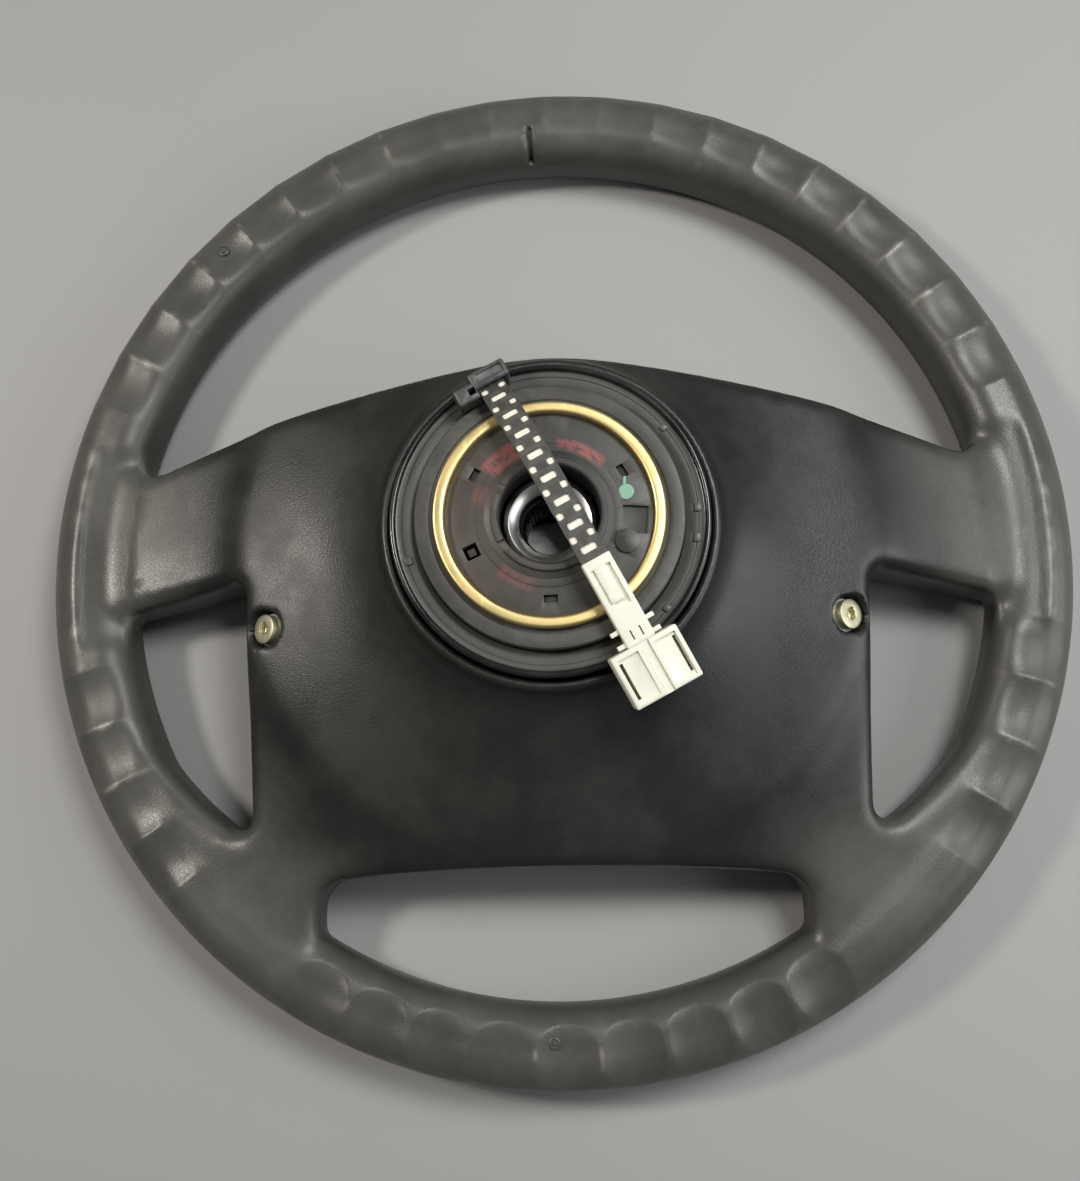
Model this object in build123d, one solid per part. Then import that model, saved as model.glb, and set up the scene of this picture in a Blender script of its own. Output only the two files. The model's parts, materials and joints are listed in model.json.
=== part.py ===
from build123d import *
from math import asin, degrees, hypot, radians, sqrt, tan
import os

# A four-spoke car steering wheel, lying face down. +Z points to the steering column,
# the front of the rim rests at Z = 0, and Z is the steering axis. Y points to twelve o'clock.

# Rim: a rounded foam tube
rim_diameter = 390.0
rim_width = 30.0
rim_height = 30.0
rim_corner = 12.5

# Finger scallops and thumb channels along the rear of the rim
scallop_pitch_deg = 7.3
scallop_length = 21.0
scallop_depth = 2.0
top_scallops = 19
bottom_scallops = 9
side_scallops = 4
side_scallop_deg = 333.5
channel_sweep_deg = 22.0
channel_centre_deg = 3.0
channel_depth = 1.5
channel_width = 16.0

# Rear surface of the moulding, from the hub skirt out to the rim
skirt_radius = 58.5
skirt_top = 72.5
neck_width = 8.0
neck_top = 61.0
block_rear_inset = 2.0
block_top = 45.0
spoke_top = 26.0
# Front surface of the moulding, a shallow cone
front_hub_z = 14.0
front_rim_z = 6.0
edge_round = 6.0
front_edge_round = 4.0

# The gaps between the spokes, in plan
gap_into_rim = 9.0
arch_top = 63.0
arch_flatness = 2.333
arch_corner = 13.0
side_gap_width = 51.0
block_side_taper = 3.0
spoke_lower_y = -11.0
spoke_lower_drop = 13.0
side_gap_centre_x = 44.0
side_gap_centre_y = 4.0
side_gap_corner = 5.0
bottom_gap_depth = 48.0
bottom_gap_half_width = 88.0
bottom_gap_corner = 11.0
bottom_gap_arch = 4.0

# Front pocket that takes the bag module
pocket_side_wall = 12.0
pocket_top_y = 44.0
pocket_bottom_wall = 17.0
pocket_top_corner = 30.0
pocket_bottom_corner = 45.0
rear_skin = 8.0

# Cast skeleton inside the foam
plate_front_z = 44.0
plate_thickness = 7.0
plate_radius = 60.0
hub_flat_radius = 55.0
arm_clearance = 1.0
core_diameter = 11.0
upper_arm_deg = 4.0
lower_arm_deg = 230.0
upper_arm_root = 44.0
lower_arm_root = 40.0
arm_tip = 20.0
lug_width = 24.0

# Side screws that hold the bag module
screw_inset = 7.5
screw_y = -30.3
screw_z = 45.0
screw_tilt_deg = 36.0
screw_head_diameter = 10.6
screw_head_height = 3.6
screw_sink = 4.5
screw_diameter = 6.0
screw_length = 20.5
screw_socket = 4.0
screw_boss_diameter = 12.0
screw_boss_length = 15.0
screw_notch_diameter = 13.6
screw_hole_gap = 0.3
screw_socket_depth = 2.3
screw_notch_rise = 20.0

# Steel hub insert for the column
insert_radius = 16.5
insert_front_z = 40.0
insert_rear_z = 70.0
insert_flange_radius = 22.0
column_bore_radius = 9.0
column_bore_length = 20.0
rear_counterbore_radius = 10.9
seat_radius = 14.4
seat_depth = 2.4
front_counterbore_radius = 13.0
front_counterbore_depth = 2.0

# Contact unit at the rear of the hub
unit_gap = 0.3
unit_wall = 2.0
collar_bore_radius = 17.3
collar_wall = 2.6
collar_top_z = 82.0
rotor_face_z = 80.0
rotor_face_thickness = 2.5
rotor_radius = 46.0
base_thickness = 2.0
slip_ring_outer_radius = 39.3
slip_ring_width = 3.8
slip_ring_top_z = 83.0
slip_ring_groove = 1.0
slip_ring_chamfer = 0.4
hook_count = 3
hook_start_deg = 30.0
hook_radius = 29.0
hook_width = 4.7
hook_thickness = 2.6
hook_gap = 0.25
hook_sink = 1.6
stator_radius = 55.0
stator_face_z = 75.5
stator_lip_height = 1.6
stator_lip_round = 0.8
ribbon_turns_width = 10.0
latch_window = 5.0
latch_peg = 2.6
latch_deg = 205.0
stud_boss_radius = 4.1
stud_boss_height = 0.8
stud_boss_deg = -21.0
recess_length = 9.5
recess_width = 8.5
recess_depth = 1.4
recess_deg = -5.0

# Flat lead from the stator to its connector
lead_start_x = -18.8
lead_start_y = 45.0
lead_heading_deg = -61.9
lead_width = 9.6
lead_thickness = 2.0
lead_bend_share = 0.45
clip_depth = 6.2
clip_right = 7.6
clip_left = 13.1
clip_top_z = 87.5
clip_edge = 1.0
clip_lug_width = 8.1
clip_lug_shift = 2.7
clip_hole = 2.6
clip_hole_shift = 2.1
stem_width = 10.3
stem_length = 31.0
stem_thickness = 5.0
peg_length = 2.8
peg_thickness = 1.6
peg_spacing = 4.85
peg_inset = 0.75
head_width = 24.4
head_depth = 18.8
head_above = 4.0
head_below = 7.5
head_corner = 1.2
head_slot_length = 13.0
head_slot_width = 1.3
head_slot_inset = 2.5
head_slot_depth = 7.0
head_channel_width = 4.0
head_channel_depth = 0.9
socket_width = 12.0
socket_height = 6.0
socket_depth = 10.0

# Bag module
module_gap = 0.8
generator_offset_y = 6.0
cover_wall = 3.0
cover_face_z = 4.0
cover_top_z = 23.0
cover_dome_radius = 700.0
cover_edge_round = 4.0
pan_thickness = 2.0
generator_radius = 33.0
generator_front_z = 12.0
generator_rear_z = 35.0
generator_flange_radius = 46.0
generator_flange = 2.0
generator_round = 3.0
generator_hole_gap = 1.0
stud_circle_radius = 40.0
stud_radius = 2.5
stud_count = 4
stud_start_deg = 45.0
stud_hole_gap = 0.3
retainer_thickness = 2.0
nut_across_flats = 8.0
nut_height = 4.0
cushion_gap = 0.5

# Horn switches in the upper spokes
horn_inset = 37.0
horn_y = 10.0
horn_case_length = 34.0
horn_case_width = 22.0
horn_case_corner = 5.0
horn_wall = 1.5
horn_front_z = 9.0
horn_rear_z = 19.5
horn_bezel_thickness = 2.6
horn_button_length = 27.0
horn_button_width = 15.0
horn_button_proud = 1.0
horn_button_corner = 4.0
horn_button_round = 1.0
horn_flange = 1.8
horn_flange_thickness = 1.4
horn_gap = 0.3
horn_plate_thickness = 0.8
horn_leaf_thickness = 0.5
horn_leaf_width = 8.0
horn_leaf_span = 18.0
horn_leaf_foot = 0.75

# Values worked out from the sizes above
rim_radius = (rim_diameter - rim_width) / 2
rim_inner_radius = rim_radius - rim_width / 2
rim_mid_z = rim_height / 2
plate_rear_z = plate_front_z + plate_thickness
gap_outer_radius = rim_inner_radius + gap_into_rim
web_radius = rim_radius + gap_into_rim
arch_radius = arch_flatness * rim_radius
block_half_width = rim_inner_radius - side_gap_width
block_radius = block_half_width - block_rear_inset
side_gap_radius = gap_outer_radius - side_gap_centre_x
bottom_gap_y = bottom_gap_depth - rim_inner_radius
pocket_half_width = block_half_width - pocket_side_wall
pocket_bottom_y = bottom_gap_y + pocket_bottom_wall
pocket_centre_y = (pocket_top_y + pocket_bottom_y) / 2
generator_y = pocket_centre_y + generator_offset_y
screw_x = block_half_width - screw_inset
horn_x = rim_inner_radius - horn_inset
base_top_z = plate_rear_z + base_thickness
pan_top_z = cover_top_z + pan_thickness
flange_top_z = pan_top_z + generator_flange

# The arms start to dish where they still clear the corners of the module
pocket_reach = pocket_bottom_corner + hypot(
    pocket_half_width - pocket_bottom_corner, pocket_bottom_y + pocket_bottom_corner
)
dish_depth = plate_front_z - rim_mid_z + plate_thickness / 2
dish_share = (plate_front_z - pan_top_z - arm_clearance) / dish_depth
dish_start_radius = max(hub_flat_radius, (pocket_reach - dish_share * rim_radius) / (1 - dish_share))

# A cut runs this far past the face it opens, or right through
past_face = 1.0
through = 200.0
# Edges of an outline are told from the others by their slope and height
level_slope = 0.8
edge_height = 3.0


def solid_ring(outer, inner, low, high):
    """A plain ring about the steering axis."""
    return Pos(0, 0, low) * extrude(Circle(outer) - Circle(inner), high - low)


def solid_disc(radius, low, high):
    """A plain cylinder about the steering axis."""
    return Pos(0, 0, low) * extrude(Circle(radius), high - low)


def block(sketch, low, high):
    """A plan sketch made solid between two heights."""
    return Pos(0, 0, low) * extrude(sketch, high - low)


def turned(*edges):
    """A closed half section (radius, height) turned about the steering axis."""
    return revolve(Plane.XZ * make_face(edges), Axis.Z)


def turned_points(*points):
    """As turned, for a section with straight sides."""
    return turned(Polyline(*points, close=True))


def both_sides(shape):
    """A piece and its mirror image across the wheel's upright centre line."""
    return [shape, mirror(shape, Plane.YZ)]


def rear_surface(drop):
    """Line of the moulding's rear from skirt to rim, lowered by drop."""
    return Spline(
        (skirt_radius, skirt_top - drop),
        (skirt_radius + neck_width, neck_top - drop),
        (block_radius, block_top - drop),
        (web_radius, spoke_top - drop),
        tangents=[(0.2, -1), (1, -0.15)],
    )


def under_rear_surface(drop, low_axis, low_rim):
    """Everything between a shallow front cone and the lowered rear surface."""
    return turned(
        rear_surface(drop),
        Line((web_radius, spoke_top - drop), (web_radius, low_rim)),
        Line((web_radius, low_rim), (0, low_axis)),
        Line((0, low_axis), (0, skirt_top - drop)),
        Line((0, skirt_top - drop), (skirt_radius, skirt_top - drop)),
    )


def top_gap():
    arch = Pos(0, arch_top - arch_radius) * Circle(arch_radius)
    gap = Circle(gap_outer_radius) - arch
    return fillet(gap.vertices(), arch_corner)


def side_gap():
    """Right-hand gap between upper spoke, block and rim."""
    reach = rim_radius
    outline = Polyline(
        (block_half_width, spoke_lower_y),
        (block_half_width - block_side_taper, -reach),
        (reach, -reach),
        (reach, spoke_lower_y - spoke_lower_drop),
        close=True,
    )
    curve = Pos(side_gap_centre_x, side_gap_centre_y) * Circle(side_gap_radius)
    gap = make_face(outline) & curve
    return fillet(gap.vertices(), side_gap_corner)


def bottom_gap():
    half = bottom_gap_half_width
    edge = ThreePointArc(
        (-half, bottom_gap_y - bottom_gap_arch), (0, bottom_gap_y), (half, bottom_gap_y - bottom_gap_arch)
    )
    sides = Polyline(edge @ 1, (half, -rim_radius), (-half, -rim_radius), edge @ 0)
    gap = make_face([edge, *sides.edges()]) & Circle(gap_outer_radius)
    return fillet(gap.vertices(), bottom_gap_corner)


def spokes_and_block():
    """The moulding inside the rim: a dished disc with four gaps and soft edges."""
    plan = Circle(web_radius) - top_gap() - both_sides(side_gap()) - bottom_gap()
    web = block(plan, 0, skirt_top) & under_rear_surface(0, front_hub_z, front_rim_z)

    def on_outline(edge):
        middle = edge @ 0.5
        radius = sqrt(middle.X**2 + middle.Y**2)
        level = abs((edge % 0.5).Z) < level_slope
        return level and skirt_radius + past_face < radius < web_radius - past_face

    def is_rear(edge):
        middle = edge @ 0.5
        radius = sqrt(middle.X**2 + middle.Y**2)
        front = front_hub_z + (front_rim_z - front_hub_z) * radius / web_radius
        return middle.Z > front + edge_height

    outline = [edge for edge in web.edges() if on_outline(edge)]
    web = fillet([edge for edge in outline if is_rear(edge)], edge_round)
    outline = [edge for edge in web.edges() if on_outline(edge) and not is_rear(edge)]
    return fillet(outline, front_edge_round)


def scallop_angles():
    """Angles of the finger scallops, in four runs between the spokes."""
    runs = [
        (90.0, top_scallops),
        (270.0, bottom_scallops),
        (side_scallop_deg, side_scallops),
        (540.0 - side_scallop_deg, side_scallops),
    ]
    for middle, count in runs:
        for i in range(count):
            yield middle + (i - (count - 1) / 2) * scallop_pitch_deg


def hollow_radius(chord, depth):
    """Radius of a round hollow of this chord and depth."""
    return (chord**2 / 4 + depth**2) / (2 * depth)


def rim_tube():
    section = Pos(rim_radius, rim_mid_z) * RectangleRounded(rim_width, rim_height, rim_corner)
    tube = revolve(Plane.XZ * section, Axis.Z)
    radius = hollow_radius(scallop_length, scallop_depth)
    cutter = Pos(rim_radius, 0, rim_height - scallop_depth + radius) * (
        Rot(0, 90, 0) * Cylinder(radius, rim_width + 2 * past_face)
    )
    tube -= [Rot(0, 0, angle) * cutter for angle in scallop_angles()]
    return tube - both_sides(thumb_channel())


def thumb_channel():
    """A long shallow hollow with rounded ends, at three o'clock."""
    radius = hollow_radius(channel_width, channel_depth)
    height = rim_height - channel_depth + radius
    first = channel_centre_deg - channel_sweep_deg / 2
    section = Plane.XZ * (Pos(rim_radius, height) * Circle(radius))
    run = Rot(0, 0, first) * revolve(section, Axis.Z, channel_sweep_deg)
    end = Pos(rim_radius, 0, height) * Sphere(radius)
    return run + Rot(0, 0, first) * end + Rot(0, 0, first + channel_sweep_deg) * end


def pad_outline(inset):
    """Outline of the module pocket, drawn in by inset."""
    half = pocket_half_width - inset
    top = pocket_top_y - inset
    bottom = pocket_bottom_y + inset
    outline = make_face(Polyline((-half, bottom), (half, bottom), (half, top), (-half, top), close=True))
    lower = [v for v in outline.vertices() if v.Y < pocket_centre_y]
    outline = fillet(lower, pocket_bottom_corner - inset)
    upper = [v for v in outline.vertices() if v.Y > top - past_face]
    return fillet(upper, pocket_top_corner - inset)


def module_pocket():
    room = under_rear_surface(rear_skin, 0, 0)
    room += solid_disc(web_radius, -past_face, 0)
    return block(pad_outline(0), -past_face, plate_front_z) & room


def along_screw(shape):
    """Place a shape built along Z on the right-hand screw's axis, its origin at the rear surface."""
    return Pos(screw_x, screw_y, screw_z) * (Rot(0, screw_tilt_deg, 0) * shape)


def screw_cylinder(radius, low, high):
    return along_screw(Pos(0, 0, low) * extrude(Circle(radius), high - low))


def screw_notch():
    return screw_cylinder(screw_notch_diameter / 2, -screw_sink, screw_notch_rise)


def screw_hole():
    return screw_cylinder(screw_diameter / 2 + screw_hole_gap, -screw_length - screw_notch_rise, 0)


def horn_places():
    return [Pos(horn_x, horn_y, 0), Pos(-horn_x, horn_y, 0)]


def horn_case_sketch(inset):
    return RectangleRounded(
        horn_case_length - 2 * inset, horn_case_width - 2 * inset, horn_case_corner - inset
    )


def foam_moulding(skeleton):
    foam = rim_tube() + spokes_and_block()
    foam -= solid_disc(stator_radius + 2 * unit_gap, plate_front_z, skirt_top + past_face)
    foam -= module_pocket()
    foam -= both_sides(screw_notch())
    foam -= [place * block(horn_case_sketch(0), -past_face, horn_rear_z) for place in horn_places()]
    foam -= both_sides(screw_hole())
    return foam - skeleton


def arm(angle, root, tip, length):
    """Tapered arm of the skeleton in plan, from the axis outwards."""
    outline = Polyline((0, -root / 2), (length, -tip / 2), (length, tip / 2), (0, root / 2), close=True)
    return Rot(0, 0, angle) * make_face(outline)


def armature():
    """Cast skeleton: hub plate, four arms, two screw lugs and the rim core, in one piece."""
    lug_reach = sqrt(screw_x**2 + screw_y**2) - screw_sink
    lug_deg = -degrees(asin(-screw_y / sqrt(screw_x**2 + screw_y**2)))
    plan = Circle(plate_radius)
    for angle in (upper_arm_deg, 180 - upper_arm_deg):
        plan += arm(angle, upper_arm_root, arm_tip, rim_radius)
    for angle in (lower_arm_deg, 540 - lower_arm_deg):
        plan += arm(angle, lower_arm_root, arm_tip, rim_radius)
    for angle in (lug_deg, 180 - lug_deg):
        plan += arm(angle, lug_width, lug_width, lug_reach)
    half = plate_thickness / 2
    dish = turned_points(
        (0, plate_front_z),
        (dish_start_radius, plate_front_z),
        (rim_radius, rim_mid_z - half),
        (rim_radius, rim_mid_z + half),
        (dish_start_radius, plate_rear_z),
        (0, plate_rear_z),
    )
    casting = block(plan, 0, skirt_top) & dish
    casting += Pos(0, 0, rim_mid_z) * Torus(rim_radius, core_diameter / 2)
    boss = screw_cylinder(screw_boss_diameter / 2, -screw_sink - screw_boss_length, -screw_sink)
    casting += both_sides(boss)
    casting -= both_sides(screw_hole())
    return casting - solid_disc(insert_radius, 0, skirt_top)


def column_insert():
    """Steel hub for the column, open at both ends, with a shallow conical seat at the rear."""
    bore_rear = plate_front_z - front_counterbore_depth + column_bore_length
    return turned_points(
        (front_counterbore_radius, insert_front_z),
        (insert_flange_radius, insert_front_z),
        (insert_flange_radius, plate_front_z),
        (insert_radius, plate_front_z),
        (insert_radius, insert_rear_z),
        (seat_radius, insert_rear_z),
        (rear_counterbore_radius, insert_rear_z - seat_depth),
        (rear_counterbore_radius, bore_rear),
        (column_bore_radius, bore_rear),
        (column_bore_radius, plate_front_z - front_counterbore_depth),
        (front_counterbore_radius, plate_front_z - front_counterbore_depth),
    )


latch_place = Rot(0, 0, latch_deg) * Pos(hook_radius, 0, 0)


def hook_places():
    for i in range(hook_count):
        yield Rot(0, 0, hook_start_deg + i * 360 / hook_count) * Pos(hook_radius, 0, 0)


def rotor_base():
    """Wheel-side floor of the contact unit, with a hub tube, three snap hooks and a latch peg."""
    base = solid_ring(stator_radius - unit_wall / 2, collar_bore_radius, plate_rear_z, base_top_z)
    tube_top = rotor_face_z - rotor_face_thickness
    base += solid_ring(collar_bore_radius + collar_wall, collar_bore_radius, base_top_z, tube_top)
    hook = Rectangle(hook_thickness - 2 * hook_gap, hook_width - 2 * hook_gap)
    hook_top = rotor_face_z - hook_sink
    base += [place * block(hook, base_top_z, hook_top) for place in hook_places()]
    return base + latch_place * block(Rectangle(latch_peg, latch_peg), base_top_z, hook_top)


def rotor_cover():
    """Wheel-side face of the contact unit: disc, collar, skirt, snap windows and ring groove."""
    under = rotor_face_z - rotor_face_thickness
    cover = solid_ring(rotor_radius, collar_bore_radius, under, rotor_face_z)
    cover += solid_ring(collar_bore_radius + collar_wall, collar_bore_radius, rotor_face_z, collar_top_z)
    cover += solid_ring(rotor_radius, rotor_radius - unit_wall, stator_face_z - 2 * unit_wall, under)
    inner = slip_ring_outer_radius - slip_ring_width
    cover -= solid_ring(slip_ring_outer_radius, inner, rotor_face_z - slip_ring_groove, rotor_face_z)
    high = rotor_face_z + past_face
    window = block(Rectangle(hook_thickness, hook_width), under - past_face, high)
    cover -= [place * window for place in hook_places()]
    cover -= latch_place * block(Rectangle(latch_window, latch_window), under - past_face, high)
    recess = Rot(0, 0, recess_deg) * Pos(hook_radius, 0, 0)
    recess_sketch = Rectangle(recess_width, recess_length)
    cover -= recess * block(recess_sketch, rotor_face_z - recess_depth, high)
    stud_boss = Rot(0, 0, stud_boss_deg) * Pos(hook_radius - past_face, 0, rotor_face_z)
    return cover + stud_boss * extrude(Circle(stud_boss_radius), stud_boss_height)


def slip_ring():
    inner = slip_ring_outer_radius - slip_ring_width
    ring = solid_ring(slip_ring_outer_radius, inner, rotor_face_z - slip_ring_groove, slip_ring_top_z)
    return chamfer(ring.faces().sort_by(Axis.Z)[-1].edges(), slip_ring_chamfer)


def stator_ring():
    """Column-side ring: outer wall, stepped face and a rounded lip, free to turn about the rotor."""
    inner = stator_radius - unit_wall
    hole = rotor_radius + unit_gap
    face_low = stator_face_z - unit_wall
    low = base_top_z + unit_gap
    lip = stator_face_z + stator_lip_height
    ring = turned_points(
        (inner, low),
        (stator_radius, low),
        (stator_radius, lip),
        (inner, lip),
        (inner, stator_face_z),
        (hole, stator_face_z),
        (hole, face_low),
        (inner, face_low),
    )
    top = ring.faces().sort_by(Axis.Z)[-1].edges()
    return fillet(top, stator_lip_round)


def ribbon_coil():
    """The flat cable wound on the rotor's tube, as one wound solid."""
    inner = collar_bore_radius + collar_wall + unit_gap
    hook_inside = hook_radius - hook_thickness / 2 - unit_gap
    outer = min(inner + ribbon_turns_width, hook_inside)
    top = stator_face_z - 2 * unit_wall - unit_gap
    return solid_ring(outer, inner, base_top_z, top)


def on_lead(shape):
    """Place a shape built along X, the lead's heading, at the lead's start."""
    return Pos(lead_start_x, lead_start_y, 0) * (Rot(0, 0, lead_heading_deg) * shape)


# Route of the lead's middle line: distance from its clip, and height
lead_route = [(0.0, 84.0), (16.4, 91.2), (34.8, 94.4), (54.2, 93.4), (71.6, 90.4)]


def lead_path():
    points = [(s, 0, z) for s, z in lead_route]
    runs = [Vector(*b) - Vector(*a) for a, b in zip(points, points[1:])]
    radii = []
    for before, after in zip(runs, runs[1:]):
        turn = radians(before.get_angle(after))
        radii.append(lead_bend_share * min(before.length, after.length) / tan(turn / 2))
    print("lead bend radii", [round(radius, 1) for radius in radii])
    return FilletPolyline(*points, radius=radii)


lead_line = lead_path()


def lead_frame(position):
    """Plane across the lead: X across it, Y up through it, Z along it."""
    return Plane(origin=lead_line @ position, x_dir=(0, -1, 0), z_dir=lead_line % position)


def lead_strap():
    strap = sweep(lead_frame(0) * Rectangle(lead_width, lead_thickness), lead_line)
    print("lead length", round(lead_line.length, 1), "section", round(strap.volume / lead_line.length, 2))
    return on_lead(strap)


def lead_clip():
    """Clip on the stator's face that lets the lead out, with a pierced lug beside it."""
    bar_left = clip_left - clip_lug_width
    bar = Pos(-clip_depth / 2, (clip_right - bar_left) / 2) * Rectangle(clip_depth, clip_right + bar_left)
    lug_place = Pos(clip_lug_shift - clip_depth / 2, clip_lug_width / 2 - clip_left)
    clip = block(bar + lug_place * Rectangle(clip_depth, clip_lug_width), stator_face_z, clip_top_z)
    clip = chamfer(clip.faces().sort_by(Axis.Z)[-1].edges(), clip_edge)
    hole = lug_place * Pos(0, clip_hole_shift) * Rectangle(clip_hole, clip_hole)
    clip -= block(hole, stator_face_z - past_face, clip_top_z + past_face)
    in_front = lead_frame(0) * extrude(Rectangle(lead_width + unit_gap, through), through)
    lip = stator_face_z + stator_lip_height
    lip_room = solid_ring(stator_radius + unit_wall, stator_radius - unit_wall, stator_face_z, lip)
    rotor_room = solid_disc(rotor_radius + unit_gap, stator_face_z, rotor_face_z + unit_gap)
    return on_lead(clip - in_front) - lip_room - rotor_room


def on_lead_end(sketch, low, high):
    """A sketch across the lead's end made solid between two distances past that end."""
    return lead_frame(1) * (Pos(0, 0, low) * extrude(sketch, high - low))


def connector_stem():
    stem = on_lead_end(Rectangle(stem_width, stem_thickness), 0, stem_length)
    peg = Rectangle(stem_width + 2 * peg_length, stem_thickness / 2)
    for i in range(2):
        high = stem_length - peg_inset - i * peg_spacing
        stem += on_lead_end(peg, high - peg_thickness, high)
    return on_lead(stem)


def connector_head():
    start = stem_length
    end = start + head_depth
    body = Pos(0, (head_above - head_below) / 2) * Rectangle(head_width, head_above + head_below)
    body = fillet(body.vertices(), head_corner)
    head = on_lead_end(body, start, end)
    slot_start = start + (head_depth - head_slot_length) / 2
    for side in (-1, 1):
        slot = Pos(side * (head_width / 2 - head_slot_inset), head_above - head_slot_depth / 2)
        slot *= Rectangle(head_slot_width, head_slot_depth)
        head -= on_lead_end(slot, slot_start, slot_start + head_slot_length)
    channel = Pos(0, head_above - head_channel_depth / 2) * Rectangle(head_channel_width, head_channel_depth)
    head -= on_lead_end(channel, start, end)
    socket = Pos(0, (head_above - head_below) / 2) * Rectangle(socket_width, socket_height)
    return on_lead(head - on_lead_end(socket, end - socket_depth, end))


def dome(thinner):
    """Everything above the cover's domed face, moved in by a wall."""
    radius = cover_dome_radius - thinner
    return Pos(0, pocket_centre_y, cover_face_z + cover_dome_radius) * Sphere(radius)


def front_cover():
    shell = block(pad_outline(module_gap), 0, cover_top_z) & dome(0)
    level = [edge for edge in shell.edges() if abs((edge % 0.5).Z) < level_slope]
    shell = fillet([edge for edge in level if (edge @ 0.5).Z < cover_top_z - edge_height], cover_edge_round)
    inside = block(pad_outline(module_gap + cover_wall), 0, cover_top_z + past_face) & dome(cover_wall)
    return shell - inside


def at_studs(sketch, low, high):
    """The same round or hexagonal piece at each stud of the module."""
    pieces = []
    for i in range(stud_count):
        angle = stud_start_deg + i * 360 / stud_count
        place = Pos(0, generator_y) * Rot(0, 0, angle) * Pos(stud_circle_radius, 0, 0)
        pieces.append(place * block(sketch, low, high))
    return pieces


def at_generator(shape):
    return Pos(0, generator_y, 0) * shape


def module_pan():
    """Pressed steel pan that closes the cover and takes the side screws."""
    pan = block(pad_outline(module_gap), cover_top_z, pan_top_z)
    low = cover_top_z - past_face
    high = pan_top_z + past_face
    pan -= at_generator(solid_disc(generator_radius + generator_hole_gap, low, high))
    pan -= at_studs(Circle(stud_radius + stud_hole_gap), low, high)
    top = -screw_sink - screw_boss_length
    nut = screw_cylinder(screw_boss_diameter / 2, top - 2 * screw_boss_length, top)
    nut &= block(pad_outline(module_gap), cover_top_z, plate_front_z)
    pan += both_sides(nut)
    return pan - both_sides(screw_cylinder(screw_diameter / 2, -through / 2, 0))


def gas_generator():
    body = solid_disc(generator_radius, generator_front_z, generator_rear_z)
    body = fillet(body.edges(), generator_round)
    body += solid_ring(generator_flange_radius, generator_radius - past_face, pan_top_z, flange_top_z)
    holes = at_studs(Circle(stud_radius + stud_hole_gap), pan_top_z - past_face, flange_top_z + past_face)
    return at_generator(body) - holes


def retainer_ring():
    inner = generator_radius + generator_hole_gap
    ring = solid_ring(generator_flange_radius, inner, cover_top_z - retainer_thickness, cover_top_z)
    stud_top = flange_top_z + nut_height + past_face
    return at_generator(ring) + at_studs(Circle(stud_radius), cover_top_z - past_face, stud_top)


def retainer_nuts():
    nut = RegularPolygon(nut_across_flats / 2, 6, major_radius=False) - Circle(stud_radius)
    return Compound(at_studs(nut, flange_top_z, flange_top_z + nut_height))


def cushion_pack():
    inset = module_gap + cover_wall + cushion_gap
    pack = block(pad_outline(inset), 0, cover_top_z - cushion_gap / 2) & dome(cover_wall + cushion_gap)
    well_radius = generator_flange_radius + cushion_gap
    well = solid_disc(well_radius, generator_front_z - past_face, cover_top_z + past_face)
    return pack - at_generator(well)


def side_screw():
    """Right-hand screw: round head with a hex socket, and a plain shank."""
    head = screw_cylinder(screw_head_diameter / 2, -screw_sink, -screw_sink + screw_head_height)
    shank = screw_cylinder(screw_diameter / 2, -screw_sink - screw_length, -screw_sink)
    socket = RegularPolygon(screw_socket / 2, 6, major_radius=False)
    deep = -screw_sink + screw_head_height - screw_socket_depth
    return head + shank - along_screw(Pos(0, 0, deep) * extrude(socket, screw_head_height))


def horn_housing():
    case = block(horn_case_sketch(0), horn_front_z + horn_bezel_thickness, horn_rear_z)
    return case - block(horn_case_sketch(horn_wall), 0, horn_rear_z - horn_wall)


def horn_button_sketch(larger, corner):
    return RectangleRounded(horn_button_length + 2 * larger, horn_button_width + 2 * larger, corner)


def horn_bezel():
    mouth = horn_button_sketch(horn_gap, horn_button_corner + horn_gap)
    return block(horn_case_sketch(0) - mouth, horn_front_z, horn_front_z + horn_bezel_thickness)


def horn_button():
    seat = horn_front_z + horn_bezel_thickness + horn_gap
    button = block(horn_button_sketch(0, horn_button_corner), horn_front_z - horn_button_proud, seat)
    button = fillet(button.faces().sort_by(Axis.Z)[0].edges(), horn_button_round)
    flange = horn_button_sketch(horn_flange, horn_button_corner)
    return button + block(flange, seat, seat + horn_flange_thickness)


def horn_plate():
    low = horn_rear_z - horn_wall - horn_plate_thickness
    return block(horn_case_sketch(horn_wall + horn_gap), low, low + horn_plate_thickness)


def horn_leaf():
    """Bowed leaf spring between the button and the contact plate."""
    high = horn_rear_z - horn_wall - horn_plate_thickness
    low = horn_front_z + horn_bezel_thickness + horn_gap + horn_flange_thickness
    half = horn_leaf_span / 2
    outer = ThreePointArc((-half, high), (0, low), (half, high))
    foot = half - horn_leaf_foot
    inner = ThreePointArc((foot, high), (0, low + horn_leaf_thickness), (-foot, high))
    section = make_face([outer, Line(outer @ 1, inner @ 0), inner, Line(inner @ 1, outer @ 0)])
    return extrude(Plane.XZ * section, horn_leaf_width / 2, both=True)


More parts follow.
